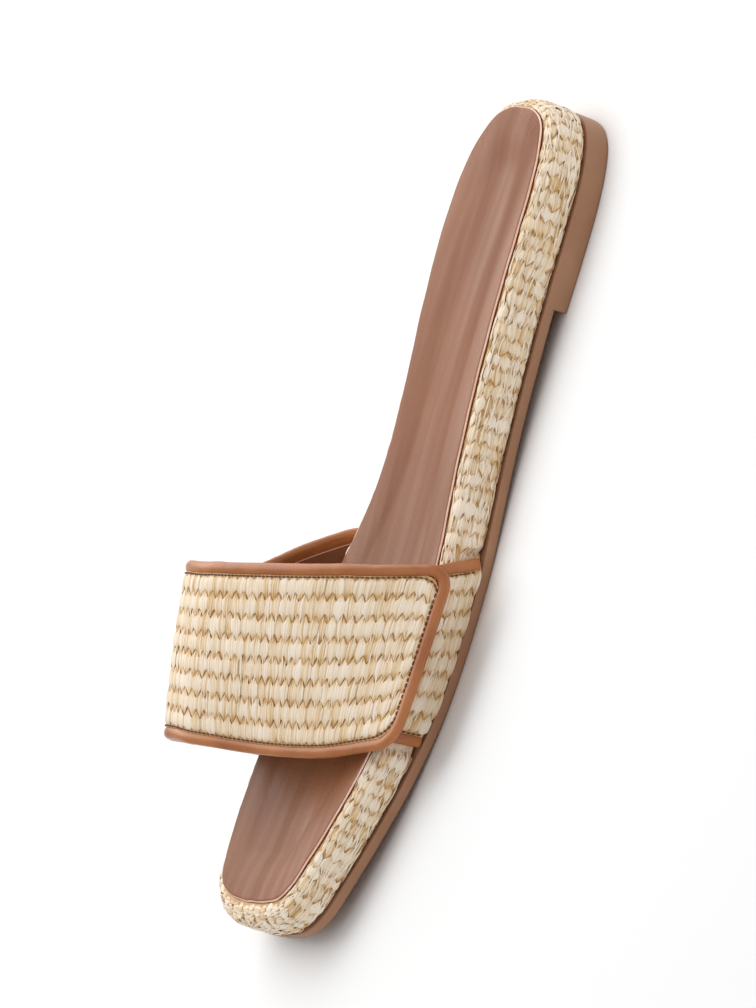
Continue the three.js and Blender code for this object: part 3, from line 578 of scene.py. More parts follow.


# Raffia: split palm leaf, woven. Thin satin fibres, cream on the crowns and golden down in the weave; the golden
# down in the weave is partly the leaf's own colour and partly painted shade, multiplied in where a point lies
# deep in the weave or half hidden.
# A leaf strip is 0.4 mm wide or less; the strips are drawn about 0.5 mm wide, so that they show
def makeRaffia(name, looks):
    material, tree, surface = startMaterial(name, {
        "Roughness": 0.5, "IOR": 1.48, "Specular IOR Level": 0.45,
        "Sheen Weight": 0.1, "Sheen Roughness": 0.5})
    fibre, tone, unshaded = (
        addNode(tree, "Attribute", {"attribute_name": key}, {}).outputs[output]
        for key, output in (("fibre", "Vector"), ("tone", "Fac"), ("unshaded", "Fac")))
    stripWay = stretched(tree, fibre, looks["stripScale"])
    strips = noise(tree, stripWay, {"Scale": 1.0, "Detail": 3.0, "Roughness": 0.6})
    cloud = noise(tree, stretched(tree, fibre, (0.3, 0.12, 0.37)), {"Scale": 1.0})
    striped = multiplyAdd(tree, strips, 1.45, multiplyAdd(tree, cloud, 0.35, -0.54))
    body = rampOf(tree, multiplyAdd(tree, tone, 0.6, striped), looks["stops"])
    # painted shade: where a point lies deep in the weave, at a stitch tip, in a hole or beside a binding, its
    # colour is multiplied towards the shade colour
    low = addNode(tree, "MapRange", {"interpolation_type": "SMOOTHSTEP"}, {
        "Value": unshaded, "From Min": looks["shadeTo"], "From Max": looks["shadeFrom"]})
    goldAndShade = addNode(tree, "Mix", {"data_type": "RGBA", "blend_type": "MULTIPLY"}, {
        0: looks["shadeMix"], 6: body, 7: colour(looks["shade"])})
    shaded = addNode(tree, "Mix", {"data_type": "RGBA"}, {
        0: low.outputs[0], 6: goldAndShade.outputs[2], 7: body})
    tree.links.new(shaded.outputs[2], surface.inputs["Base Color"])
    bump = addNode(tree, "Bump", {}, {"Strength": 0.6, "Distance": 0.0003, "Height": strips})
    tree.links.new(bump.outputs[0], surface.inputs["Normal"])
    return material


# Calf leather, drum-dyed and polished: even tan with soft pull-up, small pores, a satin gloss
def makeLeather(name, looks):
    material, tree, surface = startMaterial(name, {
        "Roughness": looks["roughness"], "IOR": 1.5, "Coat Weight": looks["coat"], "Coat Roughness": 0.3,
        "Specular IOR Level": looks.get("specular", 0.5)})
    place = addNode(tree, "TexCoord", {}, {}).outputs["Object"]
    even = noise(tree, place, {"Scale": looks["cloud"], "Detail": 5.0})
    if "polishAndSheenStreaks" in looks:  # rubbed and stretched lengthways: soft streaks, some polished and some dull
        polishAndSheenStreaks = noise(tree, stretched(tree, place, looks["polishAndSheenStreaks"]), {"Scale": 1.0, "Detail": 2.0})
        # painted sheen: the colour is lighter along the streaks, which also vary the roughness
        even = addNode(tree, "Mix", {}, {0: 0.65, 2: even, 3: polishAndSheenStreaks}).outputs[0]
        gloss = addNode(tree, "MapRange", {}, {
            "Value": polishAndSheenStreaks, "From Min": 0.35, "From Max": 0.65,
            "To Min": looks["roughness"] + 0.14, "To Max": looks["roughness"] - 0.1})
        tree.links.new(gloss.outputs[0], surface.inputs["Roughness"])
    body = rampOf(tree, even, looks["stops"])
    tree.links.new(body, surface.inputs["Base Color"])
    pores = addNode(tree, "TexVoronoi", {"feature": "F1"}, {"Vector": place, "Scale": looks["pores"]})
    folds = noise(tree, place, {"Scale": looks["folds"], "Detail": 3.0})
    grain = addNode(tree, "Bump", {}, {
        "Strength": looks["grain"], "Distance": 0.0002, "Height": pores.outputs["Distance"]})
    relief = addNode(tree, "Bump", {}, {
        "Strength": looks["relief"], "Distance": 0.0006, "Height": folds, "Normal": grain.outputs[0]})
    tree.links.new(relief.outputs[0], surface.inputs["Normal"])
    return material


# The shade colour is painted shade, multiplied into the weave's colour down in the valleys, at the stitch tips,
# in the holes and beside the bindings
raffia = makeRaffia("raffiaWeave", {
    "stripScale": (2.0, 0.09, 1.0), "shade": "#E0B780", "shadeMix": 1.0, "shadeTo": 0.0, "shadeFrom": 0.85,
    "stops": [(0.26, "#C08F50"), (0.42, "#D9B682"), (0.6, "#E9D0AD"), (0.84, "#F6E7D3")]})
# Ground under the weave: darker golden, partly the lower strips' own colour and partly painted shade in the
# gaps, with a quarter of the shade colour always multiplied in
shadedRaffiaGround = makeRaffia("shadedRaffiaGround", {
    "stripScale": (1.2, 1.2, 1.0), "shade": "#C79C60", "shadeMix": 0.25, "shadeTo": 0.2, "shadeFrom": 0.9,
    "stops": [(0.3, "#C3975A"), (0.8, "#E2C08C")]})
calfPiping = makeLeather("calfPiping", {
    "roughness": 0.34, "coat": 0.16, "cloud": 60, "pores": 1500, "folds": 240, "grain": 0.16, "relief": 0.18,
    "stops": [(0.3, "#9B5525"), (0.55, "#B06A33"), (0.75, "#BE7B46")]})
calfLining = makeLeather("calfLining", {
    "roughness": 0.5, "coat": 0.05, "cloud": 50, "pores": 1300, "folds": 160, "grain": 0.18, "relief": 0.12,
    "stops": [(0.3, "#7A4527"), (0.55, "#8A5232"), (0.75, "#96603F")]})
# Footbed: brown pressed leather; its lighter lengthways streaks in colour are painted sheen
footbedLeather = makeLeather("pressedFootbedLeather", {
    "roughness": 0.46, "coat": 0.02, "specular": 0.34, "cloud": 26, "pores": 1150, "folds": 120, "grain": 0.2,
    "relief": 0.1, "stops": [(0.3, "#7C4723"), (0.55, "#8D5631"), (0.78, "#9E6946")], "polishAndSheenStreaks": (85, 7, 40)})
# Cut edge: pale pink leather, lightened further as painted light, since it faces away from the key light
rawEdge = makeLeather("cutLeatherEdge", {
    "roughness": 0.7, "coat": 0.0, "cloud": 300, "pores": 1800, "folds": 500, "grain": 0.3, "relief": 0.3,
    "stops": [(0.3, "#F6C4AA"), (0.7, "#FFDDCB")]})
mouldedSole = makeLeather("mouldedRubberSole", {
    "roughness": 0.52, "coat": 0.0, "specular": 0.38, "cloud": 40, "pores": 2600, "folds": 90, "grain": 0.05,
    "relief": 0.05, "stops": [(0.3, "#9C7052"), (0.6, "#A6795B"), (0.8, "#B08465")]})
nylonHook = makeLeather("brushedNylonPatch", {
    "roughness": 0.85, "coat": 0.0, "cloud": 400, "pores": 1200, "folds": 900, "grain": 0.5, "relief": 0.5,
    "stops": [(0.3, "#5D3A25"), (0.7, "#75492F")]})
linenThread = makeLeather("waxedLinenThread", {
    "roughness": 0.6, "coat": 0.0, "cloud": 300, "pores": 1800, "folds": 700, "grain": 0.4, "relief": 0.4,
    "stops": [(0.3, "#5C3218"), (0.7, "#784524")]})
seamLooks = {"pitch": 1.7, "length": 1.5, "thread": 0.55, "lift": 0.2, "margin": 3.85}
print("materials made")

toMiddle = lambda reach: reach * 0 + 1

# Outsole with its low heel, one moulding
outsoleLooks = {"stations": 640, "midDepth": 14}


def buildOutsole(looks):
    breast = toY(sole["heelBreastAlong"])
    arcs = list(np.linspace(0, outlineLength, looks["stations"], endpoint=False))
    ups, ys = outlineArc[:heelIndex + 1], outlineCurve[:heelIndex + 1, 1]
    downs, yd = outlineArc[heelIndex:-1][::-1], outlineCurve[heelIndex:, 1][::-1]
    for y in (breast - sole["breastSlope"], breast):
        arcs += [float(np.interp(y, ys, ups)), float(np.interp(y, yd, downs))]
    arcs = np.sort(np.array(arcs))
    atHeel = onOutline(arcs)[0][:, 1] > breast - 1e-3
    base = lambda y: np.where(atHeel, 0, underside(y))
    r, gap = sole["edgeRound"], sole["gap"]
    recipe = [  # inset, depth, height
        (0, toMiddle, soleTop), (0, looks["midDepth"], soleTop), (gap + r / 2, 0, soleTop),
        (gap + r * 0.15, 0, lambda y: soleTop(y) - r * 0.15), (gap, 0, lambda y: soleTop(y) - r / 2),
        (gap - 0.05, 0, lambda y: (soleTop(y) + base(y)) / 2 + r / 2), (gap, 0, lambda y: base(y) + r),
        (gap + r * 0.1, 0, lambda y: base(y) + r * 0.6), (gap + r * 0.3, 0, lambda y: base(y) + r * 0.3),
        (gap + r * 0.6, 0, lambda y: base(y) + r * 0.08), (gap + r, 0, base), (0, looks["midDepth"], base),
        (0, toMiddle, base),
    ]
    rings = []
    for inset, depth, height in recipe:
        spot = solePoint(arcs, np.full(arcs.shape, float(inset)), depth)
        rings.append(atHeight(spot, height(spot[:, 1])))
    faces = gridFaces(len(rings), len(arcs), closed=True)
    return addMesh("outsoleMoulding", np.concatenate(rings), faces, mouldedSole, "outsole")


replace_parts(buildOutsole(outsoleLooks), "outsole")
print("outsole built")

# Bands: where they press into the rim, as points of their inner faces and the ways out of them
pressLooks = {
    "along": (-88, 8), "reach": 6, "edge": 0.5, "fade": 0.9, "rows": 4.5, "beyond": 0.5, "rowDrop": 8}
pressTree = {}
for side, span in (
        (1, (-pressLooks["beyond"], pressLooks["rows"])),
        (-1, (lastRow - pressLooks["rows"], lastRow + pressLooks["beyond"]))):
    rows, shares = crossed(np.linspace(*span, 70), np.linspace(-0.03, 1.03, 60))
    inside = np.clip(rows, 0, lastRow)
    spots = strapFace(inside.ravel(), shares.ravel())
    ways = strapNormal(inside.ravel(), shares.ravel())
    beyond = (inside - rows).ravel() if side > 0 else (rows - inside).ravel()
    spots[:, 2] -= beyond * pressLooks["rowDrop"]
    tree = KDTree(len(spots))
    for index, spot in enumerate(spots):
        tree.insert(spot, index)
    tree.balance()
    pressTree[side] = (tree, spots, ways)


def pressIn(points, clearance):
    points = points.copy()
    near = (points[:, 1] > pressLooks["along"][0]) & (points[:, 1] < pressLooks["along"][1])
    for index in np.nonzero(near)[0]:
        tree, spots, ways = pressTree[1 if points[index, 0] > 0 else -1]
        found, k, distance = tree.find(points[index])
        if distance > pressLooks["reach"]:
            continue
        gone = points[index] - spots[k]
        out = float(gone @ ways[k])
        sideways = math.sqrt(max(float(gone @ gone) - out * out, 0))
        fade = max(0.0, 1 - max(sideways - pressLooks["edge"], 0) / pressLooks["fade"])
        if out > -clearance and fade > 0:
            points[index] += ways[k] * (-clearance - out) * fade
    return points


# Rim: a strip of the same weave, wrapped round the edge of the midsole
rimLooks = {
    "stations": 620, "columns": 5, "rowStep": 4.5,
    "ground": -0.48, "press": 0.9, "weavePress": 0.45, "drop": 1.2,
    "weave": {"across": 13, "along": 9, "interlock": 0.5, "fullness": 0.93, "overlap": 0.2, "dip": 0.3,
              "sink": -1.3, "rise": 1.35, "lobe": 0.16, "round": 2.8, "length": 6.8, "uneven": 2.1,
              "tuck": 0.75, "strips": 4, "strand": 0.16, "goldAndShade": 0.3, "heldShade": 0.35, "holeShade": 0.35},
    "stray": {"count": 1500, "width": 0.026, "length": 1.5, "lean": 0.035, "lift": 0.08, "dive": 0.45,
              "across": 16},
}


def rimShape():
    crownDrop, tuckRise = 0.45 * sole["rimHeight"], 0.14 * sole["rimHeight"]
    turn = np.linspace(0, math.pi / 2, 25)
    shape = [(1 - math.sin(t), -crownDrop * (1 - math.cos(t))) for t in turn]
    low = sole["gap"] - sole["rimHeight"]
    shape += [(0, tuckRise + low), (sole["rimTuck"] / sole["rimWidth"] / 3, tuckRise / 2 + low),
              (sole["rimTuck"] / sole["rimWidth"], low)]
    shape = np.array(shape)
    return shape, arcAlong(shape * (sole["rimWidth"], 1))


rimSection, rimArc = rimShape()


def rimPlace(arc, share, height):
    arc, share, height = np.broadcast_arrays(*(np.asarray(k, float) for k in (arc, share, height)))
    reading = share * rimArc[-1]
    behind, here, ahead = (readCurve(reading + step, rimArc, rimSection) for step in (-0.4, 0, 0.4))
    inset, drop = here[..., 0], here[..., 1]
    beyond, under = np.minimum(share, 0) * rimArc[-1], np.maximum(share - 1, 0) * rimArc[-1]
    run = unit((ahead - behind) * (-sole["rimWidth"], 1))
    outward, upward = -run[..., 1], run[..., 0]
    spot, out = onOutline(arc)
    y = spot[..., 1]
    across = rimAcross(arc) - sole["gap"]
    scale = (rimRise(y) - sole["gap"]) / (sole["rimHeight"] - sole["gap"])
    place = spot - out * (inset * across + under - outward * height)[..., None]
    z = rimTop(y) + drop * scale + upward * height + beyond * 0.6
    return np.concatenate([place, z[..., None]], -1)


# Presses pieces of a weave in beside the bands, and drops those that would lie behind them
def clearOfBands(pieces, cell):
    points, faces, values = pieces
    pressed = pressIn(points, rimLooks["weavePress"])
    moved = np.linalg.norm(pressed - points, axis=1).reshape(-1, cell).min(1)
    keep = np.repeat(moved < rimLooks["drop"], cell)
    order = np.cumsum(keep) - 1
    kept = {key: array[keep] for key, array in values.items()}
    return pressed[keep], order[faces[keep[faces].all(1)]], kept


def buildRim(looks):
    arcs = np.linspace(0, outlineLength, looks["stations"], endpoint=False)
    wall = np.stack([rimPlace(arcs, share, looks["ground"]) for share in np.linspace(0, 1, 22)])
    inner = solePoint(arcs, rimAcross(arcs) - sole["gap"], 0)
    floor = atHeight(inner, insoleTop(inner[:, 1]) - sole["insoleThickness"] - sole["gap"])
    rings = [floor, floor * (1, 1, 0) + (0, 0, 1) * (rimTop(inner[:, 1]) - 0.4)[:, None], *wall]
    for depth in (outsoleLooks["midDepth"], toMiddle):
        spot = solePoint(arcs, np.full(arcs.shape, sole["rimTuck"]), depth)
        rings.append(atHeight(spot, soleTop(spot[:, 1]) + sole["gap"]))
    rings = np.stack(rings)
    ground = underlay(pressIn(rings.reshape(-1, 3), looks["press"]).reshape(rings.shape), closed=True)
    count = 2 * round(outlineLength / looks["rowStep"] / 2)  # even, so that the rows alternate all round
    starts = np.arange(count + 1) * outlineLength / count
    starts[1:-1] += chance.normal(0, 0.3, count - 1)
    runs, rows = [], []
    for k in range(count):
        for column in range(looks["columns"] + k % 2):
            runs.append((column + 0.5 * (1 - k % 2)) / looks["columns"])
            rows.append(k + 0.5)
    swing = lambda arc: 0.02 * np.sin(arc / 29) + 0.012 * np.sin(arc / 11 + 1)

    def place(run, row, height):
        arc = np.interp(row % count, np.arange(count + 1), starts)
        lean = 0.9 * np.sin(arc / 41) * (run - 0.5)
        return rimPlace(-arc - lean, run + swing(arc), height)

    hold = lambda run, row: 1 - smooth(run, -0.02, 0.13) * (1 - smooth(run, 0.86, 1.0))
    weave, stray = looks["weave"], looks["stray"]
    stitches = layStitches(place, np.array(runs), np.array(rows), 1 / looks["columns"], weave, hold)
    stitches[2]["fibre"] = stitches[2]["fibre"] * (rimArc[-1], 1, 1)
    stitches = clearOfBands(stitches, weave["across"] * weave["along"])
    spots = chance.uniform((0.06, 0), (0.92, count), (stray["count"], 2))
    strays = clearOfBands(layFibres(place, spots[:, 0], spots[:, 1], stray), 3 * fibreRings)
    return addWoven("rimGround", ground, shadedRaffiaGround), addWoven("rimWeave", joined(stitches, strays), raffia)


rimGround, rimWeave = buildRim(rimLooks)
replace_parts(rimGround, "midsole")
print("rim woven:", len(rimWeave.data.polygons), "faces")

# Insole: pressed leather on foam, its cut edge a little proud of the rim
insoleLooks = {
    "stations": 560, "shoulder": (6.5, 20), "groove": 15.5, "grooveDepth": 0.3, "grooveWidth": 2.2,
    "edge": 0.7, "wrinkle": 0.22, "wrinklePitch": 4.2, "wander": 0.07,
    "depths": (0.0, 0.12, 0.3, 0.6, 1, 1.6, 2.4, 3.4, 4.6, 6, 7.4, 8.8, 10.2, 11.6, 13, 14.2, 15.4, 16.6, 18),
    "shares": (0.12, 0.25, 0.4, 0.55, 0.7, 0.85, 1.0),  # of the rest of the way to the middle line
}


def buildInsole(looks):
    arcs = np.linspace(0, outlineLength, looks["stations"], endpoint=False)
    inset = rimAcross(arcs) + looks["wander"] * (np.sin(arcs / 4.3) + np.sin(arcs / 2.3 + 1))
    start = looks["depths"][-1]
    steps = [(depth, None) for depth in looks["depths"]]
    steps += [(start + 8 * share, share) for share in looks["shares"]]
    fan = arcs / looks["wrinklePitch"] * 2 * math.pi + 1.9 * np.sin(arcs / 11)
    edgeArc = np.sin(fan) * (0.55 + 0.45 * np.sin(arcs / 7.7 + 1)) + 0.35 * np.sin(1.6 * fan + 2)
    rings = []
    for depth, share in steps:
        inward = lambda reach: (start * (1 - share) + reach * share) / reach
        spot = solePoint(arcs, inset, depth if share is None else inward)
        y = spot[:, 1]
        along = y / sole["length"] + 0.5
        cup = sole["heelCup"] * smooth(along, 0.6, 0.85)
        pressed = (sole["footbedDip"] + cup) * smooth(depth, *looks["shoulder"])
        groove = looks["grooveDepth"] * math.exp(-((depth - looks["groove"]) / looks["grooveWidth"]) ** 2)
        groove = groove * (1 - smooth(y, 75, 105))
        ends = np.maximum(smooth(y, 100, 116), 0.45 * (1 - smooth(y, -118, -108)))
        ripple = looks["wrinkle"] * ends * edgeArc * smooth(depth, 0.5, 2) * (1 - smooth(depth, 4, 9))
        drop = 0.25 * (1 - min(depth / 0.6, 1)) ** 2
        z = insoleTop(y) - pressed - groove + ripple - drop + 0.12 * math.sin(min(depth / 8, 1) * math.pi)
        rings.append(atHeight(spot, z))
    side, edge, under = [], looks["edge"], looks["edge"] + 0.05
    for low, inward in ((edge, -0.3), (under, -0.15), (under + 0.6, 0.1), (sole["insoleThickness"], 0.25)):
        spot = solePoint(arcs, inset + inward, 0)
        side.append(atHeight(spot, insoleTop(spot[:, 1]) - low))
    rings = rings[::-1] + side
    points = np.concatenate(rings)
    faces = gridFaces(len(rings), len(arcs), closed=True)
    ringOf = faces[:, 0] // len(arcs)
    kinds = np.clip(ringOf - len(steps) + 2, 0, 2)
    skins = [footbedLeather, rawEdge, calfPiping]
    return addMesh("footbed", points, faces, skins, "footbed_leather", None, kinds, 60)


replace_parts(buildInsole(insoleLooks), "insole")
print("insole built")

# Straps: two bands that rise from the sole, woven outside and lined with leather.
# The lining and the turned edge each have a margin from the band's edge, a top and an underside
bandLooks = {
    "margin": 3.5, "rows": 8, "pitch": 3.2, "ground": -0.27, "pastRows": 0.1,
    "lining": (4.1, 0.9, -0.3), "turnedEdge": (1.2, 1.6, 0.5),
    "ends": {True: (2.6, -1.2), False: (-0.6, -4.2)},  # where the stitches start and end, top first or not
    "weave": {"across": 17, "along": 13, "interlock": 0.5, "fullness": 0.93, "overlap": 0.2, "dip": 0.34,
              "sink": -0.9, "rise": 1.2, "lobe": 0.13, "round": 2.8, "length": 8.2, "uneven": 1.1,
              "tuck": 0.6, "strips": 4, "strand": 0.08, "goldAndShade": 0.48, "heldShade": 0.6, "holeShade": 0.34},
    "stray": {"perRow": 30, "width": 0.38, "length": 1.1, "lean": 0.3, "lift": 0.16, "dive": 0.6,
              "across": 1},
}


def bandPlace(run, row, height):
    rows = rowAt(run)
    back, front = (inFromEdge(rows, bandLooks["margin"], side) for side in (False, True))
    return strapPoint(rows, back + (front - back) * row / bandLooks["rows"], strap["bandWall"] + height)


# Closed sheet along a band: its rows, its margin from the band's edges, its top and its underside
def bandSheet(rows, columns, margin, top, low):
    rows = rows[:, None]
    back, front = (inFromEdge(rows, margin, side) for side in (False, True))
    v = back + (front - back) * np.linspace(0, 1, columns)[None, :]
    return sheetBetween(strapPoint(rows, v, top), strapPoint(rows, v, low))


def addPiping(name, centres, outward):
    return addMesh(name, *tube(centres, outward), calfPiping, "binding_leather")


def stitchPlaces(start, end, pitch, rows):
    count = int((end - start) / pitch)
    runs, places = [], []
    for row in range(rows):
        for k in range(count + 1):
            runs.append(start + (k + 0.5 * (row % 2)) * (end - start) / count)
            places.append(row + 0.5)
    return np.array(runs), np.array(places)


# Stray strips over the weave of a strap
def strapStrays(place, start, end, looks):
    stray = looks["stray"]
    count = stray["perRow"] * looks["rows"]
    spots = chance.uniform((start + 2, 0.9), (end - 2, looks["rows"] - 0.9), (count, 2))
    return layFibres(place, spots[:, 0], spots[:, 1], stray)


# How far a stitch is held down by the bindings along both edges of a strap
def heldAtEdges(row, rows):
    return 1 - smooth(row, -0.12, 0.34) * (1 - smooth(row, rows - 0.34, rows + 0.12))


def layStrap(place, start, end, looks, hold):
    runs, rows = stitchPlaces(start, end, looks["pitch"], looks["rows"])
    return layStitches(place, runs, rows, looks["pitch"], looks["weave"], hold)


def strapGround(place, start, end, steps, looks):
    past = looks["pastRows"]
    t, c = crossed(np.linspace(start, end, steps), np.linspace(-past, looks["rows"] + past, 40))
    return underlay(place(t, c, looks["ground"]))


def buildBand(name, fromRow, toRow, topFirst, replaced, looks=bandLooks, linedRows=110, linedColumns=26):
    start, end = float(lengthAt(fromRow)), float(lengthAt(toRow))
    first, last = looks["ends"][topFirst]
    hold = lambda run, row: heldAtEdges(row, looks["rows"])
    stitches = layStrap(bandPlace, start + first, end + last, looks, hold)
    stitches = joined(stitches, strapStrays(bandPlace, start, end, looks))
    low, high = (start + 1, end) if topFirst else (start, end - 1)
    addWoven(name + "Ground", strapGround(bandPlace, low, high, 90, looks), shadedRaffiaGround)
    addWoven(name + "Weave", stitches, raffia)
    lined = rowAt(np.linspace(low, high, linedRows))
    lining = bandSheet(lined, linedColumns, *looks["lining"])
    kinds = np.zeros(len(lining[1]), int)
    kinds[-2 * (linedRows + linedColumns) + 4:] = 1  # the faces round the lining's edge, which is cut
    addMesh(name + "Lining", *lining, [calfLining, rawEdge], "binding_leather", None, kinds)
    turned = bandSheet(lined, linedColumns, *looks["turnedEdge"])
    addMesh(name + "TurnedEdge", *turned, calfPiping, "binding_leather")
    reach, middle = strap["bindingReach"], strap["bandWall"] / 2
    rows = rowAt(np.linspace(start, end, 150))
    for front, side, node in ((False, "Back", replaced[0]), (True, "Front", replaced[1])):
        place = inFromEdge(rows, reach, front)
        piece = addPiping(name + "Piping" + side, strapPoint(rows, place, middle), strapNormal(rows, place))
        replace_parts(piece, node)
        if not front:  # the band's top end is bound too, under the flap
            topRow = rowAt(start + reach if topFirst else end - reach)
            v = np.linspace(*(inFromEdge(topRow, reach, edge) for edge in (False, True)), 70)
            addPiping(name + "PipingTop", strapPoint(topRow, v, middle), strapNormal(topRow, v))
        edge = inFromEdge(rows, seamLooks["margin"], front)
        line = strapPoint(rows, edge, strap["bandWall"] - 0.1)
        seam(name + "Seam" + side, line, strapNormal(rows, edge), seamLooks)


buildBand("lateralBand", strap["foot"], strap["lateralTop"], False,
          ("lateral_binding_back", "lateral_binding_front"))
buildBand("medialBand", strap["medialTop"], lastRow - strap["foot"], True,
          ("medial_binding_back", "medial_binding_front"))
print("bands woven")

# Flap: the wide strap that folds back over the bands, woven as they are and lined inside
flapLooks = {**bandLooks, "freeEnd": 1.6, "tabEnd": 4.2, "held": (-1.2, 1.6), "lining": (1.6, -1.3, -2.15)}


def onPath(run, height):
    spot, normal = readCurve(run, pathArc, path), unit(readCurve(run, pathArc, pathNormal))
    return spot[..., 0], spot + normal * np.asarray(height)[..., None]


def flapPlace(run, row, height, margin=None):
    margin = flapLooks["margin"] if margin is None else margin
    run, row, height = np.broadcast_arrays(*(np.asarray(k, float) for k in (run, row, height)))
    length, spot = onPath(run, strap["flapWall"] / 2 + height)
    pull = cornerPull(length - margin) * (1 - margin / strap["corner"])
    back, front = (inFromFlapEdge(length, margin + pull, front) for front in (False, True))
    return flapPoint(spot[..., 0], back + (front - back) * row / flapLooks["rows"], spot[..., 1])


def buildFlap(looks):
    start, end = looks["margin"], float(pathArc[-1])
    bound = [start + past for past in looks["held"]]
    hold = lambda run, row: 1 - (1 - heldAtEdges(row, looks["rows"])) * smooth(run, *bound)
    place = lambda run, row, height: flapPlace(np.maximum(run, looks["freeEnd"]), row, height)
    stitches = layStrap(place, start - looks["freeEnd"], end - looks["tabEnd"], looks, hold)
    stitches = joined(stitches, strapStrays(place, start, end, looks))
    weave = addWoven("flapWeave", stitches, raffia)
    addWoven("flapGround", strapGround(flapPlace, start - 1, end - 1, 240, looks), shadedRaffiaGround)
    margin, top, low = looks["lining"]
    t, c = crossed(np.linspace(start - 1.2, end - 1, 240), np.linspace(0, looks["rows"], 30))
    lining = sheetBetween(flapPlace(t, c, top, margin), flapPlace(t, c, low, margin))
    addMesh("flapLining", *lining, calfLining, "binding_leather")
    across, reach = np.linspace(0, looks["rows"], 70), strap["bindingReach"]
    middle = flapPlace(end - reach, across, -strap["flapWall"] / 2, reach)
    addPiping("tabPiping", middle, unit(flapPlace(end - reach, across, 0.5, reach) - middle))
    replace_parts(weave, "upper")


def flapPipingSpots():
    inset, corner, up = strap["bindingReach"], strap["corner"], (0, 1)
    turn = corner - inset
    side = [(length, height, tuple(normal)) for (length, height), normal in zip(path, pathNormal)
            if length > flapEnd + corner or height > flapRest + 0.1]
    spots = [(length, height, inset, False, normal) for length, height, normal in reversed(side)]
    turns = [(flapEnd + corner - turn * math.sin(t), flapRest, corner - turn * math.cos(t))
             for t in np.linspace(0, math.pi / 2, 12)]
    spots += [(*spot, False, up) for spot in turns]
    across = float(flapWidth(flapEnd)) - 2 * corner
    spots += [(flapEnd + inset, flapRest, corner + across * k / 30, False, up) for k in range(1, 30)]
    spots += [(*spot, True, up) for spot in reversed(turns)]
    return spots + [(length, height, inset, True, normal) for length, height, normal in side]


def buildFlapPiping():
    length, height, inset, front, normal = (np.array(list(column)) for column in zip(*flapPipingSpots()))
    w = np.where(front, inFromFlapEdge(length, inset, True), inFromFlapEdge(length, inset, False))
    centres = flapPoint(length, w, height)
    outward = unit(flapPoint(length + normal[:, 0], w, height + normal[:, 1]) - centres)
    arc = arcAlong(centres)
    even = np.linspace(0, arc[-1], int(arc[-1] / 0.9))
    return addPiping("flapPiping", readCurve(even, arc, centres), unit(readCurve(even, arc, outward)))


# Seam along the back edge, round the free end and along the front edge
def buildFlapSeam(looks, steps=200, turns=11, endSteps=38):
    margin, last, end = looks["margin"], flapLooks["rows"], looks["margin"] - 0.5
    side = np.linspace(pathArc[-1] - 1, strap["corner"], steps)
    turn = np.linspace(strap["corner"], end, turns + 1)[1:]
    runs = np.concatenate([side, turn, np.full(endSteps, end), turn[::-1], side[::-1]])
    across = np.linspace(0, last, endSteps + 2)[1:-1]
    rows = np.concatenate([np.zeros(steps + turns), across, np.full(steps + turns, last)])
    line = flapPlace(runs, rows, -0.1, margin)
    return seam("flapSeam", line, unit(flapPlace(runs, rows, 0.9, margin) - line), looks)


buildFlap(flapLooks)
buildFlapSeam(seamLooks)
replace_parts(buildFlapPiping(), "flap_binding")
print("flap woven")

# Hook-and-loop patches that hold the flap down: the rows they span, between the bands and the flap
patchLooks = {"hookPatch": (5.4, 8.0), "tabPatch": (11.4, 12.3), "margin": 10, "sunk": 0.2}
patchTop = flapRest - strap["flapWall"] / 2 + patchLooks["sunk"]
for name in ("hookPatch", "tabPatch"):
    patch = bandSheet(np.linspace(*patchLooks[name], 24), 16, patchLooks["margin"], patchTop,
                      strap["bandWall"] - patchLooks["sunk"])
    addMesh(name, *patch, nylonHook, "raffia")
print("patches placed")

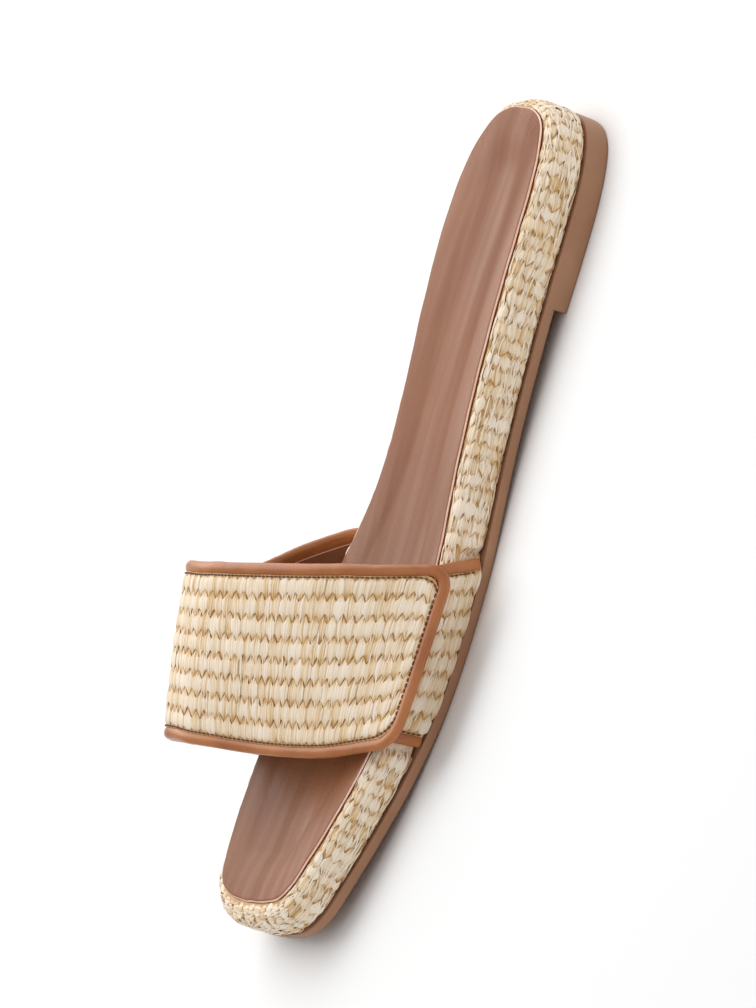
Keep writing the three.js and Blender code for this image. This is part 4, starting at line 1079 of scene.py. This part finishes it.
# Stage: pale floor, soft light, and a camera at the photograph's angle, rolled as the shoe lies in it
stage = {
    "azimuth": -5.34, "elevation": 21.3, "roll": -69.3, "distance": 5.9, "lens": 724,
    "aim": (0.0, 0.0, 0.024), "floor": ("#F3F3F3", "#F6F6F5"), "floorHalf": 30, "world": 0.54,
}
floorMaterial, floorTree, floorShader = startMaterial("paleFloor", {
    "Roughness": 0.9, "Specular IOR Level": 0.1})
floorNoise = addNode(floorTree, "TexNoise", {}, {"Scale": 3.0})
floorTone = rampOf(floorTree, floorNoise.outputs["Fac"], list(zip((0.3, 0.7), stage["floor"])))
floorTree.links.new(floorTone, floorShader.inputs["Base Color"])
floorMesh = bpy.data.meshes.new("floor")
floorHalf = stage["floorHalf"]
floorCorners = [(x * floorHalf, y * floorHalf, 0) for x, y in ((-1, -1), (1, -1), (1, 1), (-1, 1))]
floorMesh.from_pydata(floorCorners, [], [(0, 1, 2, 3)])
floorMesh.materials.append(floorMaterial)
floor = bpy.data.objects.new("floor", floorMesh)
bpy.context.scene.collection.objects.link(floor)

world = bpy.data.worlds.new("softStudio")
bpy.context.scene.world = world
world.use_nodes = True
background = world.node_tree.nodes["Background"]
background.inputs["Color"].default_value = (1, 1, 1, 1)
background.inputs["Strength"].default_value = stage["world"]
bpy.context.scene.view_settings.view_transform = "Standard"


def addLight(name, place, size, power):
    light = bpy.data.lights.new(name, "AREA")
    light.shape = "DISK"
    light.size = size
    light.energy = power
    lamp = bpy.data.objects.new(name, light)
    lamp.location = place
    lamp.rotation_euler = (-Vector(place)).to_track_quat("-Z", "Y").to_euler()
    lamp.visible_camera = False
    bpy.context.scene.collection.objects.link(lamp)


addLight("keyLight", (-0.85, 0.6, 1.3), 2.6, 33)
addLight("fillLight", (1.3, -0.4, 1.3), 1.8, 4)


def addCamera(looks):
    azimuth, elevation, roll = (math.radians(looks[key]) for key in ("azimuth", "elevation", "roll"))
    flat = math.cos(elevation)
    back = Vector((flat * math.cos(azimuth), flat * math.sin(azimuth), math.sin(elevation)))
    level = Vector((0, 0, 1)).cross(back).normalized()
    upright = back.cross(level)
    right = level * math.cos(roll) + upright * math.sin(roll)
    up = upright * math.cos(roll) - level * math.sin(roll)
    data = bpy.data.cameras.new("camera")
    data.sensor_width = 36
    data.lens = looks["lens"]
    data.clip_end = 100
    camera = bpy.data.objects.new("camera", data)
    aim = Vector(looks["aim"])
    turn = Matrix((right, up, back)).transposed().to_4x4()
    camera.matrix_world = Matrix.Translation(aim + back * looks["distance"]) @ turn
    bpy.context.scene.collection.objects.link(camera)
    bpy.context.scene.camera = camera


addCamera(stage)
print("stage set")
